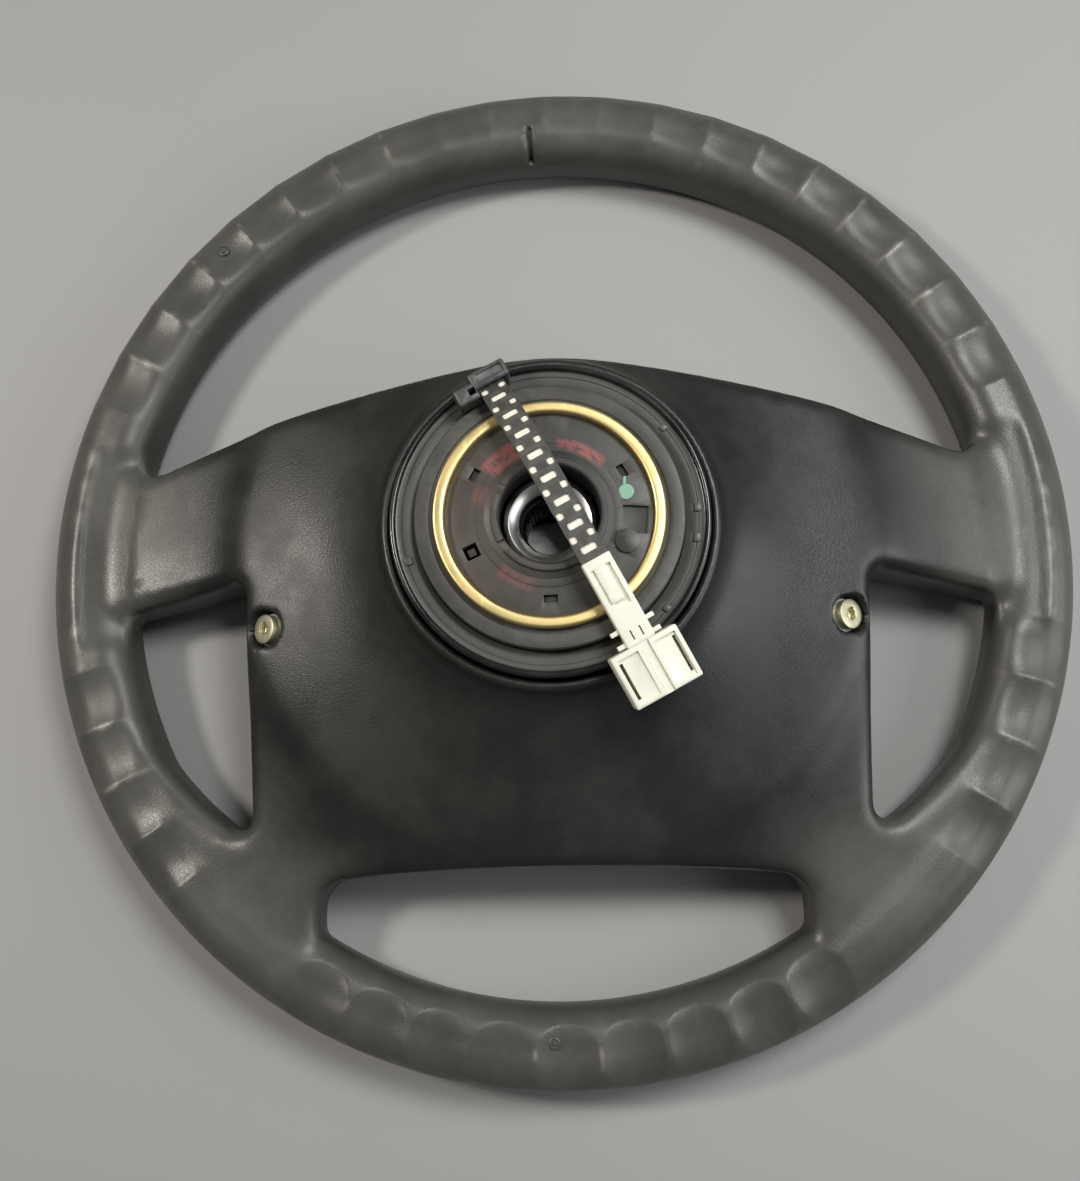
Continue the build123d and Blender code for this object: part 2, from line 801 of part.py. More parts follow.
def main():
    os.makedirs("parts", exist_ok=True)
    skeleton = armature()
    nodes = {
        "foam_moulding": foam_moulding(skeleton),
        "armature": skeleton,
        "column_insert": column_insert(),
        "rotor_base": rotor_base(),
        "rotor_cover": rotor_cover(),
        "slip_ring": slip_ring(),
        "ribbon_coil": ribbon_coil(),
        "stator_ring": stator_ring(),
        "lead_clip": lead_clip(),
        "lead_strap": lead_strap(),
        "connector_stem": connector_stem(),
        "connector_head": connector_head(),
        "front_cover": front_cover(),
        "module_pan": module_pan(),
        "gas_generator": gas_generator(),
        "retainer_ring": retainer_ring(),
        "retainer_nuts": retainer_nuts(),
        "cushion_pack": cushion_pack(),
    }
    nodes["side_screw_right"], nodes["side_screw_left"] = both_sides(side_screw())
    horn_pieces = {
        "horn_housing": horn_housing(),
        "horn_bezel": horn_bezel(),
        "horn_button": horn_button(),
        "horn_plate": horn_plate(),
        "horn_leaf": horn_leaf(),
    }
    for name, piece in horn_pieces.items():
        for side, place in zip(("right", "left"), horn_places()):
            nodes[f"{name}_{side}"] = place * piece
    for name, shape in nodes.items():
        export_step(shape, f"parts/{name}.step")


main()
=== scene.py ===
import bmesh
import bpy
import json
from math import asin, atan2, cos, degrees, hypot, pi, radians, sin, sqrt
from mathutils import Matrix, Vector, noise

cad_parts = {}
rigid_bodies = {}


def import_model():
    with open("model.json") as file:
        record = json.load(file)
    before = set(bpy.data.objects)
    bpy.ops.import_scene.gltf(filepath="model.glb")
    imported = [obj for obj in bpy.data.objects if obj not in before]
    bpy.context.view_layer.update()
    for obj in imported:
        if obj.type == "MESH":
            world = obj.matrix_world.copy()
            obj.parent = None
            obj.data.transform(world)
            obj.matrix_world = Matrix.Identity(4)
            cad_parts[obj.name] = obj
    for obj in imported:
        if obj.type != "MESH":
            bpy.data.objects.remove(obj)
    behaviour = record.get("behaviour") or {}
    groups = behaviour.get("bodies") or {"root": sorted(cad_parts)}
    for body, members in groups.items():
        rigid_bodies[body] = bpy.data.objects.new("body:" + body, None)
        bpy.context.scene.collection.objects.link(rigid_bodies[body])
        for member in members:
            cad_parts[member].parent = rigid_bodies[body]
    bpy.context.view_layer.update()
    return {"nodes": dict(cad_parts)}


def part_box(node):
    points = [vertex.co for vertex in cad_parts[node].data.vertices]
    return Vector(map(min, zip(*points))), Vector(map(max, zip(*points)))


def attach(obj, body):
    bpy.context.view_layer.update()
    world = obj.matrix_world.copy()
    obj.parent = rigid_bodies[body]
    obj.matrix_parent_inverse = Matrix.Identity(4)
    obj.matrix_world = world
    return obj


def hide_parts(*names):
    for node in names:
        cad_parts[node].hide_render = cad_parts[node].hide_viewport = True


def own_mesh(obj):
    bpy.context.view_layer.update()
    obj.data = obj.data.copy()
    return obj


# The rear of a foam-moulded steering wheel that lies face down on a table.
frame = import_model()
nodes = frame["nodes"]
MM = 0.001

# Sizes that the pieces share with the frame, in millimetres
rim_radius = 180.0
tube_half = 15.0
tube_corner = 12.5
rim_mid_z = 15.0
lead_start = (-18.8, 45.0)
lead_heading = radians(-61.9)
lead_route = [(0.0, 84.0), (16.4, 91.2), (34.8, 94.4), (54.2, 93.4), (71.6, 90.4)]
lead_width = 9.6
lead_thickness = 2.0

# Where the rim's skin starts, and how much skin a radian round its tube takes
rim_inner_edge = 161
skin_arc = 13.8


# Handling pieces

def leave():
    """Leave edit mode."""
    bpy.ops.object.mode_set(mode="OBJECT")


def only(*pieces):
    """Leave edit mode and select just these pieces, the last one active."""
    if bpy.context.mode != "OBJECT":
        leave()
    bpy.ops.object.select_all(action="DESELECT")
    for piece in pieces:
        piece.select_set(True)
        bpy.context.view_layer.objects.active = piece


def shape(piece, kind="FACE"):
    """Open a piece for shaping, with nothing picked."""
    only(piece)
    bpy.ops.object.mode_set(mode="EDIT")
    bpy.ops.mesh.select_mode(type=kind)
    bpy.ops.mesh.select_all(action="DESELECT")


def pick_all():
    """Pick the whole of the piece that is open."""
    bpy.ops.mesh.select_all(action="SELECT")


def pick_faces(piece, wanted):
    """Pick the faces whose middle and normal are wanted."""
    mesh = bmesh.from_edit_mesh(piece.data)
    for face in mesh.faces:
        face.select_set(wanted(face.calc_center_median(), face.normal))
    mesh.select_flush_mode()
    bmesh.update_edit_mesh(piece.data)


def close_up():
    """Merge doubles, turn the faces outwards and leave edit mode."""
    pick_all()
    bpy.ops.mesh.remove_doubles(threshold=1e-6)
    bpy.ops.mesh.normals_make_consistent(inside=False)
    leave()


def work(piece, kind, **settings):
    """Add a modifier, set it and apply it."""
    only(piece)
    modifier = piece.modifiers.new(kind.lower(), kind)
    for key, value in settings.items():
        setattr(modifier, key, value)
    bpy.ops.object.modifier_apply(modifier=modifier.name)


def place(piece):
    """Put a piece's place, turn and size into its mesh."""
    only(piece)
    bpy.ops.object.transform_apply(location=True, rotation=True, scale=True)


def cut(piece, tool, operation="DIFFERENCE"):
    """Cut a tool out of a piece, or unite the two, and remove the tool."""
    place(tool)
    work(piece, "BOOLEAN", object=tool, solver="EXACT", operation=operation)
    bpy.data.objects.remove(tool)


def bevelled(piece, width, segments=2, angle=30):
    """Round the edges that turn by more than an angle."""
    work(piece, "BEVEL", width=width * MM, segments=segments,
         limit_method="ANGLE", angle_limit=radians(angle))


def added(name, operator, **settings):
    """Add a primitive with nothing else selected, and name it."""
    bpy.ops.object.select_all(action="DESELECT")
    operator(**settings)
    piece = bpy.context.object
    piece.name = name
    return piece


def new_block(name, size, centre):
    """A block of this size, in millimetres, ready for shaping."""
    piece = added(name, bpy.ops.mesh.primitive_cube_add, size=1.0, location=[c * MM for c in centre])
    piece.scale = [s * MM for s in size]
    place(piece)
    return piece


def new_round(name, radius, low, high, centre=(0, 0), sides=48):
    """An upright round bar between two heights, in millimetres."""
    middle = (centre[0] * MM, centre[1] * MM, (low + high) / 2 * MM)
    piece = added(name, bpy.ops.mesh.primitive_cylinder_add,
                  vertices=sides, radius=radius * MM, depth=(high - low) * MM, location=middle)
    place(piece)
    return piece


def new_turned(name, section, steps):
    """A closed half section (radius, height), drawn point by point and spun about the steering axis."""
    piece = added(name, bpy.ops.mesh.primitive_plane_add, size=MM)
    bpy.ops.object.mode_set(mode="EDIT")
    bpy.ops.mesh.select_mode(type="VERT")
    pick_all()
    bpy.ops.mesh.merge(type="CENTER")
    last = Vector((0, 0, 0))
    for i, (radius, height) in enumerate(section):
        point = Vector((radius * MM, 0, height * MM))
        if i == 0:
            bpy.ops.transform.translate(value=point)
        else:
            bpy.ops.mesh.extrude_region_move(TRANSFORM_OT_translate={"value": point - last})
        last = point
    mesh = bmesh.from_edit_mesh(piece.data)
    for vertex in mesh.verts:
        vertex.select_set(len(vertex.link_edges) == 1)
    bmesh.update_edit_mesh(piece.data)
    bpy.ops.mesh.edge_face_add()
    pick_all()
    bpy.ops.mesh.spin(steps=steps, angle=2 * pi, center=(0, 0, 0), axis=(0, 0, 1))
    close_up()
    return piece


def finished(piece, body, material, stands_for=(), angle=32):
    """Shade a piece, give it its finish and let it ride on its body."""
    place(piece)
    bpy.ops.object.shade_smooth_by_angle(angle=radians(angle))
    piece.data.materials.clear()
    piece.data.materials.append(material)
    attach(piece, body)
    if stands_for:
        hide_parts(*stands_for)
    return piece


# The camera

def set_camera():
    """The camera stands where the picture was taken: below the hub and looking a little up the wheel."""
    film_width = 36.0
    photo_width = 1080.0
    focal_pixels = 1250.0
    bpy.ops.object.camera_add(
        location=(0.0139, -0.1102, 0.4877),
        rotation=(radians(11.59), radians(2.66), radians(-1.04)),
    )
    camera = bpy.context.object
    camera.data.sensor_fit = "HORIZONTAL"
    camera.data.sensor_width = film_width
    camera.data.lens = film_width * focal_pixels / photo_width
    camera.data.clip_start = 0.01
    bpy.context.scene.camera = camera


# Steps that finishes are made of; lengths in a finish are in metres

def add(tree, kind, links=None, values=None, **settings):
    """Add a node, set its properties and input values, and link its inputs."""
    node = tree.nodes.new("ShaderNode" + kind)
    for key, value in settings.items():
        setattr(node, key, value)
    for key, value in (values or {}).items():
        node.inputs[key].default_value = value
    for key, source in (links or {}).items():
        tree.links.new(source, node.inputs[key])
    return node


def put(tree, value, socket):
    """Give a socket a number, a colour or the value of another socket."""
    if isinstance(value, (int, float)):
        socket.default_value = value
    elif isinstance(value, tuple):
        socket.default_value = (*value, 1.0)
    else:
        tree.links.new(value, socket)


def combine(tree, operation, first, second):
    """Two values, sockets or numbers, combined."""
    node = add(tree, "Math", operation=operation)
    put(tree, first, node.inputs[0])
    put(tree, second, node.inputs[1])
    return node.outputs[0]


def times(tree, first, second):
    """One value times another."""
    return combine(tree, "MULTIPLY", first, second)


def plus(tree, first, second):
    """One value plus another."""
    return combine(tree, "ADD", first, second)


def scaled(tree, value, by, start):
    """A value times one number plus another."""
    return add(tree, "Math", {0: value}, {1: by, 2: start}, operation="MULTIPLY_ADD").outputs[0]


def ramp(tree, value, low, high, to_low=0.0, to_high=1.0):
    """A value spread smoothly from one range to another."""
    ends = {"From Min": low, "From Max": high, "To Min": to_low, "To Max": to_high}
    return add(tree, "MapRange", {"Value": value}, ends, interpolation_type="SMOOTHSTEP").outputs["Result"]


def band(tree, value, low, high, soft):
    """1 where a value lies between two numbers, with soft ends."""
    return times(tree, ramp(tree, value, low - soft, low + soft), ramp(tree, value, high + soft, high - soft))


def mixed(tree, factor, first, second):
    """Two colours mixed by a factor; each is a socket or a colour."""
    node = add(tree, "Mix", data_type="RGBA")
    for index, value in ((0, factor), (6, first), (7, second)):
        put(tree, value, node.inputs[index])
    return node.outputs[2]


def tinted(tree, tone, mask, amount, colour):
    """A tone with a colour laid over it where a mask says, by an amount."""
    return mixed(tree, times(tree, mask, amount), tone, colour)


def spot_on(tree):
    """Place on the piece."""
    return add(tree, "TexCoord").outputs["Object"]


def place_along(tree, axis):
    """Place on the piece along one axis."""
    return add(tree, "SeparateXYZ", {0: spot_on(tree)}).outputs[axis]


def from_axis(tree):
    """Distance from the steering axis."""
    flat = add(tree, "VectorMath", {0: spot_on(tree)}, {1: (1.0, 1.0, 0.0)}, operation="MULTIPLY")
    return add(tree, "VectorMath", {0: flat.outputs[0]}, operation="LENGTH").outputs["Value"]


def facing_up(tree):
    """How much the surface faces up, from -1 to 1."""
    return add(tree, "SeparateXYZ", {0: add(tree, "NewGeometry").outputs["Normal"]}).outputs["Z"]


def clouds(tree, scale, detail, roughness=0.5):
    """Noise over the piece."""
    values = {"Scale": scale, "Detail": detail, "Roughness": roughness}
    return add(tree, "TexNoise", {"Vector": spot_on(tree)}, values).outputs["Fac"]


def fine_lines(tree, across, scale=5200.0, detail=3.0):
    """Fine lines that follow each other across a distance, as turning and rolling leave them."""
    values = {"Scale": scale, "Detail": detail}
    return add(tree, "TexNoise", {"W": across}, values, noise_dimensions="1D").outputs["Fac"]


# Effects that several finishes share

def new_group(name, inputs, outputs):
    """A shader node group with named number inputs and outputs, and the sockets at its two ends."""
    group = bpy.data.node_groups.new(name, "ShaderNodeTree")
    for label, value in inputs.items():
        socket = group.interface.new_socket(label, in_out="INPUT", socket_type="NodeSocketFloat")
        socket.default_value = value
    for label in outputs:
        group.interface.new_socket(label, in_out="OUTPUT", socket_type="NodeSocketFloat")
    given = group.nodes.new("NodeGroupInput").outputs
    result = group.nodes.new("NodeGroupOutput").inputs
    return group, given, result


def grain_group():
    """Moulded leather-like grain: round cells between fine creases, with a softer swell."""
    group, given, result = new_group("moulded_grain", {"Cells": 700.0, "Crease": 0.10}, ["Height"])
    spot = spot_on(group)
    bend = add(group, "TexNoise", {"Vector": spot}, {"Scale": 260.0, "Detail": 2.0})
    moved = add(group, "VectorMath", {0: bend.outputs["Color"]}, {"Scale": 0.0012}, operation="SCALE")
    bent = add(group, "VectorMath", {0: spot, 1: moved.outputs[0]}, operation="ADD")
    links = {"Vector": bent.outputs[0], "Scale": given["Cells"]}
    cells = add(group, "TexVoronoi", links, feature="DISTANCE_TO_EDGE")
    crease = add(group, "MapRange", {"Value": cells.outputs["Distance"], "From Max": given["Crease"]})
    height = times(group, clouds(group, 2600.0, 3.0), 0.22)
    height = plus(group, height, times(group, crease.outputs["Result"], 0.55))
    height = plus(group, height, times(group, clouds(group, 120.0, 2.0), 0.5))
    group.links.new(height, result["Height"])
    return group


def handling_group():
    """Marks of use: broad patches and thin scuffs."""
    group, given, result = new_group("handling_marks", {"Size": 30.0}, ["Patches", "Scuffs"])
    spot = spot_on(group)
    links = {"Vector": spot, "Scale": given["Size"]}
    broad = add(group, "TexNoise", links, {"Detail": 5.0, "Roughness": 0.62})
    stretch = {"Scale": (340.0, 60.0, 200.0), "Rotation": (0.3, 0.2, 0.7)}
    drawn = add(group, "Mapping", {"Vector": spot}, stretch)
    scuffs = add(group, "TexNoise", {"Vector": drawn.outputs["Vector"]}, {"Scale": 1.0, "Detail": 4.0})
    group.links.new(ramp(group, broad.outputs["Fac"], 0.36, 0.66), result["Patches"])
    group.links.new(ramp(group, scuffs.outputs["Fac"], 0.60, 0.72), result["Scuffs"])
    return group


def dust_group():
    """Dust that has settled on what faces up, thicker in some places."""
    group, given, result = new_group("settled_dust", {"Amount": 0.5}, ["Dust"])
    drift = ramp(group, clouds(group, 55.0, 6.0, 0.7), 0.30, 0.75)
    dust = times(group, ramp(group, facing_up(group), 0.1, 0.95), drift)
    group.links.new(times(group, dust, given["Amount"]), result["Dust"])
    return group


def edge_group():
    """Worn, paler edges."""
    group, given, result = new_group("worn_edges", {"Start": 0.515, "Full": 0.58}, ["Edge"])
    point = add(group, "NewGeometry").outputs["Pointiness"]
    found = add(group, "MapRange", {"Value": point, "From Min": given["Start"], "From Max": given["Full"]})
    broken = ramp(group, clouds(group, 420.0, 3.0), 0.25, 0.6)
    group.links.new(times(group, found.outputs["Result"], broken), result["Edge"])
    return group


grain = grain_group()
handling = handling_group()
dusting = dust_group()
edging = edge_group()


def use(tree, group, **values):
    """Place a shared effect with its own values; its results."""
    return add(tree, "Group", values=values, node_tree=group).outputs


# Finishes

def new_finish(name, **values):
    """A material with its shader; values are set on the shader's own sockets."""
    material = bpy.data.materials.new(name)
    material.use_nodes = True
    shader = material.node_tree.nodes["Principled BSDF"]
    for key, value in values.items():
        shader.inputs[key.replace("_", " ")].default_value = value
    return material, material.node_tree, shader


def give(tree, shader, **values):
    """Link what changes over the surface to the shader's sockets."""
    for key, value in values.items():
        tree.links.new(value, shader.inputs[key.replace("_", " ")])


def bumped(tree, shader, height, distance, strength=1.0):
    """Relief of this depth, in millimetres, on the shader's normal."""
    node = add(tree, "Bump", {"Height": height}, {"Distance": distance * MM, "Strength": strength})
    give(tree, shader, Normal=node.outputs["Normal"])


def foam_finish(name):
    """Grained foam skin: greyer and dusty on the rim, with painted shade on its walls and worn crests that
    also carry a painted glint; darker and smoother on the block.
    """
    material, tree, shader = new_finish(name, Specular_IOR_Level=0.5)
    patches = use(tree, handling, Size=26.0)["Patches"]
    relief = use(tree, grain, Cells=720.0, Crease=0.12)["Height"]
    dust = use(tree, dusting, Amount=0.6)["Dust"]
    rub_and_glint = add(tree, "Attribute", attribute_name="rub_and_glint").outputs["Fac"]
    rub_and_glint_amount = times(tree, rub_and_glint, ramp(tree, patches, 0.2, 0.8, 0.15, 1.0))
    on_rim = ramp(tree, from_axis(tree), 0.128, 0.166)
    on_top = ramp(tree, facing_up(tree), 0.05, 0.75)
    # Painted shade: on the rim the skin is near black where it faces sideways or down and grey where it faces
    # up; the grey itself is the rim's worn skin.
    worn_grey_and_painted_shade = mixed(tree, on_top, (0.017, 0.018, 0.016), (0.060, 0.060, 0.053))
    tone = mixed(tree, on_rim, (0.0130, 0.0145, 0.0125), worn_grey_and_painted_shade)
    tone = tinted(tree, tone, patches, scaled(tree, on_rim, 0.30, 0.08), (0.085, 0.080, 0.070))
    tone = tinted(tree, tone, dust, scaled(tree, on_rim, 0.16, 0.03), (0.26, 0.25, 0.22))
    # Pale on the worn crests and thumb ridges: hand wear, and a painted glint where they would catch the
    # light.
    tone = tinted(tree, tone, rub_and_glint_amount, 0.75, (0.42, 0.40, 0.35))
    rough = combine(tree, "SUBTRACT", scaled(tree, patches, 0.12, 0.33), times(tree, rub_and_glint_amount, 0.16))
    give(tree, shader, Base_Color=tone, Roughness=rough)
    bumped(tree, shader, relief, 0.07, 0.40)
    return material


def plastic(name, colour, pale, roughness, marks_size=60.0, dust_amount=0.3, edge=0.35):
    """Moulded plastic: slight clouding, pale worn edges, dust and a fine spark-eroded texture."""
    material, tree, shader = new_finish(name, Specular_IOR_Level=0.5)
    patches = use(tree, handling, Size=marks_size)["Patches"]
    dust = use(tree, dusting, Amount=dust_amount)["Dust"]
    bare_edge = tuple(min(1.0, 3.2 * share + 0.02) for share in pale)
    tone = tinted(tree, colour, patches, 0.45, pale)
    tone = tinted(tree, tone, dust, 0.35, (0.30, 0.27, 0.21))
    tone = tinted(tree, tone, use(tree, edging)["Edge"], edge, bare_edge)
    rough = plus(tree, scaled(tree, patches, 0.14, roughness), times(tree, dust, 0.25))
    give(tree, shader, Base_Color=tone, Roughness=rough)
    bumped(tree, shader, clouds(tree, 1900.0, 3.0), 0.03, 0.5)
    return material


def metal(name, colour, tarnish, roughness, turned=True, size=70.0):
    """Metal with turning or rolling lines, tarnish and small scratches."""
    material, tree, shader = new_finish(name, Metallic=1.0)
    marks = use(tree, handling, Size=size)
    lines = fine_lines(tree, from_axis(tree) if turned else place_along(tree, "X"))
    scratched = tuple(min(1.0, 1.5 * share) for share in colour)
    tone = tinted(tree, colour, marks["Patches"], 0.7, tarnish)
    tone = tinted(tree, tone, marks["Scuffs"], 0.35, scratched)
    rough = plus(tree, scaled(tree, lines, 0.16, roughness), times(tree, marks["Patches"], 0.12))
    give(tree, shader, Base_Color=tone, Roughness=rough)
    bumped(tree, shader, lines, 0.012, 0.4)
    return material


# Red marking ink on the contact face: start and end angle, inner and outer radius, strength
ink_runs = (
    (1.92, 2.50, 0.0220, 0.0287, 0.95),
    (0.76, 1.44, 0.0234, 0.0272, 1.0),
    (2.70, 3.02, 0.0220, 0.0268, 0.35),
    (-2.30, -1.80, 0.0228, 0.0272, 0.35),
)
shop_dust = (0.30, 0.28, 0.22)


def marking_ink(tree):
    """Where worn ink lies on the contact face, broken by wear."""
    turn = combine(tree, "ARCTAN2", place_along(tree, "Y"), place_along(tree, "X"))
    ring = from_axis(tree)
    soft_turn = 0.05
    soft_ring = 0.0008
    ink = None
    for start, end, inner, outer, strength in ink_runs:
        run = times(tree, band(tree, turn, start, end, soft_turn), band(tree, ring, inner, outer, soft_ring))
        run = times(tree, run, strength)
        ink = run if ink is None else combine(tree, "MAXIMUM", ink, run)
    return times(tree, ink, ramp(tree, clouds(tree, 420.0, 5.0, 0.7), 0.35, 0.52))


def face_finish():
    """Grey moulded face of the contact unit, browner at its left, with worn ink and shop dust."""
    material, tree, shader = new_finish("contact_face_plastic", Specular_IOR_Level=0.45)
    patches = use(tree, handling, Size=70.0)["Patches"]
    dust = use(tree, dusting, Amount=0.55)["Dust"]
    inside_ring = ramp(tree, from_axis(tree), 0.0395, 0.0375)
    brown = times(tree, ramp(tree, place_along(tree, "X"), 0.006, -0.026), inside_ring)
    tone = mixed(tree, patches, (0.036, 0.036, 0.034), (0.050, 0.049, 0.045))
    tone = tinted(tree, tone, brown, 0.5, (0.074, 0.056, 0.044))
    tone = tinted(tree, tone, dust, 0.12, shop_dust)
    tone = tinted(tree, tone, marking_ink(tree), 0.85, (0.30, 0.090, 0.085))
    tone = tinted(tree, tone, use(tree, edging)["Edge"], 0.08, (0.30, 0.29, 0.25))
    give(tree, shader, Base_Color=tone, Roughness=scaled(tree, patches, 0.12, 0.40))
    bumped(tree, shader, clouds(tree, 1700.0, 3.0), 0.04, 0.5)
    return material


def case_finish():
    """Case of the contact unit: dark grey on its flat ring, glossy black on its wall and lip."""
    material, tree, shader = new_finish("contact_case_plastic", Specular_IOR_Level=0.5)
    patches = use(tree, handling, Size=60.0)["Patches"]
    flat = ramp(tree, from_axis(tree), 0.0530, 0.0522)
    flat_dust = times(tree, use(tree, dusting, Amount=0.3)["Dust"], flat)
    flat_edge = times(tree, use(tree, edging)["Edge"], flat)
    tone = mixed(tree, flat, (0.010, 0.010, 0.010), (0.048, 0.048, 0.044))
    tone = tinted(tree, tone, patches, 0.25, (0.060, 0.058, 0.052))
    tone = tinted(tree, tone, flat_dust, 0.2, shop_dust)
    tone = tinted(tree, tone, flat_edge, 0.12, (0.22, 0.21, 0.19))
    rough = plus(tree, scaled(tree, flat, 0.24, 0.16), times(tree, patches, 0.08))
    give(tree, shader, Base_Color=tone, Roughness=rough)
    bumped(tree, shader, clouds(tree, 1900.0, 3.0), 0.02, 0.4)
    return material


def hub_finish():
    """Steel hub: dark and oiled, with a bright turned seat."""
    material, tree, shader = new_finish("hub_steel", Metallic=1.0)
    patches = use(tree, handling, Size=90.0)["Patches"]
    ring = from_axis(tree)
    lines = fine_lines(tree, ring)
    seat = times(tree, ramp(tree, ring, 0.0107, 0.0110), ramp(tree, ring, 0.0146, 0.0143))
    seat = times(tree, seat, ramp(tree, place_along(tree, "Z"), 0.0662, 0.0674))
    tone = mixed(tree, patches, (0.060, 0.058, 0.054), (0.030, 0.028, 0.025))
    tone = mixed(tree, seat, tone, (0.78, 0.77, 0.74))
    give(tree, shader, Base_Color=tone, Roughness=scaled(tree, lines, 0.12, 0.25))
    bumped(tree, shader, lines, 0.012, 0.4)
    return material


def cloth_finish():
    """Folded bag cloth: a fine plain weave."""
    material, tree, shader = new_finish("bag_cloth_weave", Roughness=0.85)
    thread = {"Scale": 420.0, "Distortion": 0.4}
    weft, warp = (
        add(tree, "TexWave", {"Vector": spot_on(tree)}, thread, bands_direction=axis).outputs["Fac"]
        for axis in ("X", "Y")
    )
    weave = times(tree, weft, warp)
    give(tree, shader, Base_Color=mixed(tree, weave, (0.52, 0.50, 0.44), (0.72, 0.70, 0.63)))
    bumped(tree, shader, weave, 0.15)
    return material


def ribbon_finish():
    """Wound flat cable: fine concentric turns."""
    material, tree, shader = new_finish("wound_ribbon", Roughness=0.35)
    turns = fine_lines(tree, from_axis(tree), 3800.0, 2.0)
    tone = mixed(tree, ramp(tree, turns, 0.4, 0.6), (0.48, 0.42, 0.30), (0.80, 0.76, 0.62))
    give(tree, shader, Base_Color=tone)
    bumped(tree, shader, turns, 0.1)
    return material


foam_skin_finish = foam_finish("grained_foam_skin")
case_black = case_finish()
base_black = plastic("contact_base_black", (0.006, 0.006, 0.006), (0.011, 0.011, 0.010), 0.55, edge=0.05)
clip_grey = plastic("lead_clip_grey", (0.036, 0.036, 0.037), (0.060, 0.060, 0.060), 0.34, edge=0.45)
guard_black = plastic("lead_guard_black", (0.030, 0.030, 0.026), (0.052, 0.051, 0.044), 0.48, edge=0.25)
cable_white = plastic("flat_cable_white", (0.86, 0.83, 0.70), (0.90, 0.88, 0.77), 0.38, 140.0, 0.0, 0.0)
shell_white = plastic("connector_white", (0.84, 0.84, 0.73), (0.78, 0.77, 0.65), 0.34, 90.0, 0.06, 0.0)
horn_black = plastic("horn_switch_black", (0.020, 0.020, 0.020), (0.036, 0.036, 0.035), 0.36)
cover_skin = foam_finish("module_cover_skin")
contact_grey = face_finish()
ring_brass = metal("horn_ring_brass", (0.82, 0.66, 0.31), (0.68, 0.51, 0.22), 0.28)
hub_steel = hub_finish()
screw_zinc = metal("screw_yellow_zinc", (0.72, 0.69, 0.50), (0.46, 0.42, 0.27), 0.34, False, 180.0)
cast_alloy = metal("cast_alloy", (0.58, 0.58, 0.57), (0.36, 0.36, 0.35), 0.45, False)
nut_steel = metal("nut_steel", (0.60, 0.59, 0.56), (0.36, 0.35, 0.33), 0.34, False)
spring_bronze = metal("spring_bronze", (0.72, 0.52, 0.30), (0.45, 0.30, 0.18), 0.30, False)
coated_steel = plastic("coated_steel", (0.018, 0.018, 0.019), (0.034, 0.034, 0.034), 0.36)
bag_cloth = cloth_finish()
wound_ribbon = ribbon_finish()
green_paint = plastic("green_paint", (0.19, 0.40, 0.28), (0.25, 0.47, 0.34), 0.42, 260.0, 0.1, 0.0)

# Solids that stay as they are and only get a finish
node_finishes = {
    "armature": cast_alloy,
    "rotor_base": base_black,
    "ribbon_coil": wound_ribbon,
    "front_cover": cover_skin,
    "module_pan": coated_steel,
    "gas_generator": cast_alloy,
    "retainer_ring": coated_steel,
    "retainer_nuts": nut_steel,
    "cushion_pack": bag_cloth,
}
for side in ("right", "left"):
    for part in ("housing", "bezel", "button"):
        node_finishes[f"horn_{part}_{side}"] = horn_black
    node_finishes[f"horn_plate_{side}"] = spring_bronze
for name, finish in node_finishes.items():
    nodes[name].data.materials.clear()
    nodes[name].data.materials.append(finish)


# The foam moulding

def smooth_step(value, low, high):
    """A smooth rise from 0 to 1 while a value goes from low to high."""
    share = min(1.0, max(0.0, (value - low) / (high - low)))
    return share * share * (3 - 2 * share)


def off_angle(angle, middle):
    """Degrees from a middle, the short way round."""
    return (angle - middle + 180) % 360 - 180


def rim_place(spot):
    """A spot's distance from the axis, its degrees round the wheel and its radians round the tube."""
    x, y, z = spot / MM
    radius = hypot(x, y)
    return radius, degrees(atan2(y, x)) % 360, atan2(radius - rim_radius, z - rim_mid_z)


def rim_reach(around):
    """How far the plain rim's skin, a square with large round corners, is from the middle of the tube."""
    straight = tube_half - tube_corner
    out, up = abs(sin(around)), abs(cos(around))
    if min(out, up) * tube_half < straight * max(out, up):
        return tube_half / max(out, up)
    return straight * (out + up) + sqrt(tube_corner**2 - straight**2 * (1 - 2 * out * up))


def plain_rim(skin):
    """Bring the rear of the rim up to its plain section, where the solid has straight finger cuts."""
    deepest_cut = 3
    for vertex in skin.data.vertices:
        x, y, z = vertex.co / MM
        radius = hypot(x, y)
        out, up = radius - rim_radius, z - rim_mid_z
        lack = rim_reach(atan2(out, up)) - hypot(out, up)
        if up > 0 and 0 < lack < deepest_cut:
            grow = lack / hypot(out, up)
            wider = 1 + out * grow / radius
            vertex.co = Vector((x * wider, y * wider, z + up * grow)) * MM


def dimple_row(count, middle, pitch, half, depth, round_ends=False):
    """A row of finger dimples round the rim: angle, half width, depth, and whether the ends are round."""
    return [(middle + (i - (count - 1) / 2) * pitch, half, depth, round_ends) for i in range(count)]


def top_row():
    """The row at the top of the rim, which fades towards its middle."""
    top = 90
    row = []
    for angle, half, depth, round_ends in dimple_row(20, top, 7.03, 11.0, 1.9):
        fade = min(1.0, max(0.15, (abs(angle - top) - 6) / 26))
        row.append((angle, half, depth * fade, round_ends))
    return row


rim_dimples = top_row()
rim_dimples += dimple_row(9, 270.4, 7.3, 10.9, 2.4, True)
rim_dimples += dimple_row(4, 335.4, 7.43, 11.6, 1.9)
rim_dimples += dimple_row(4, 207.4, 7.0, 11.0, 1.9)


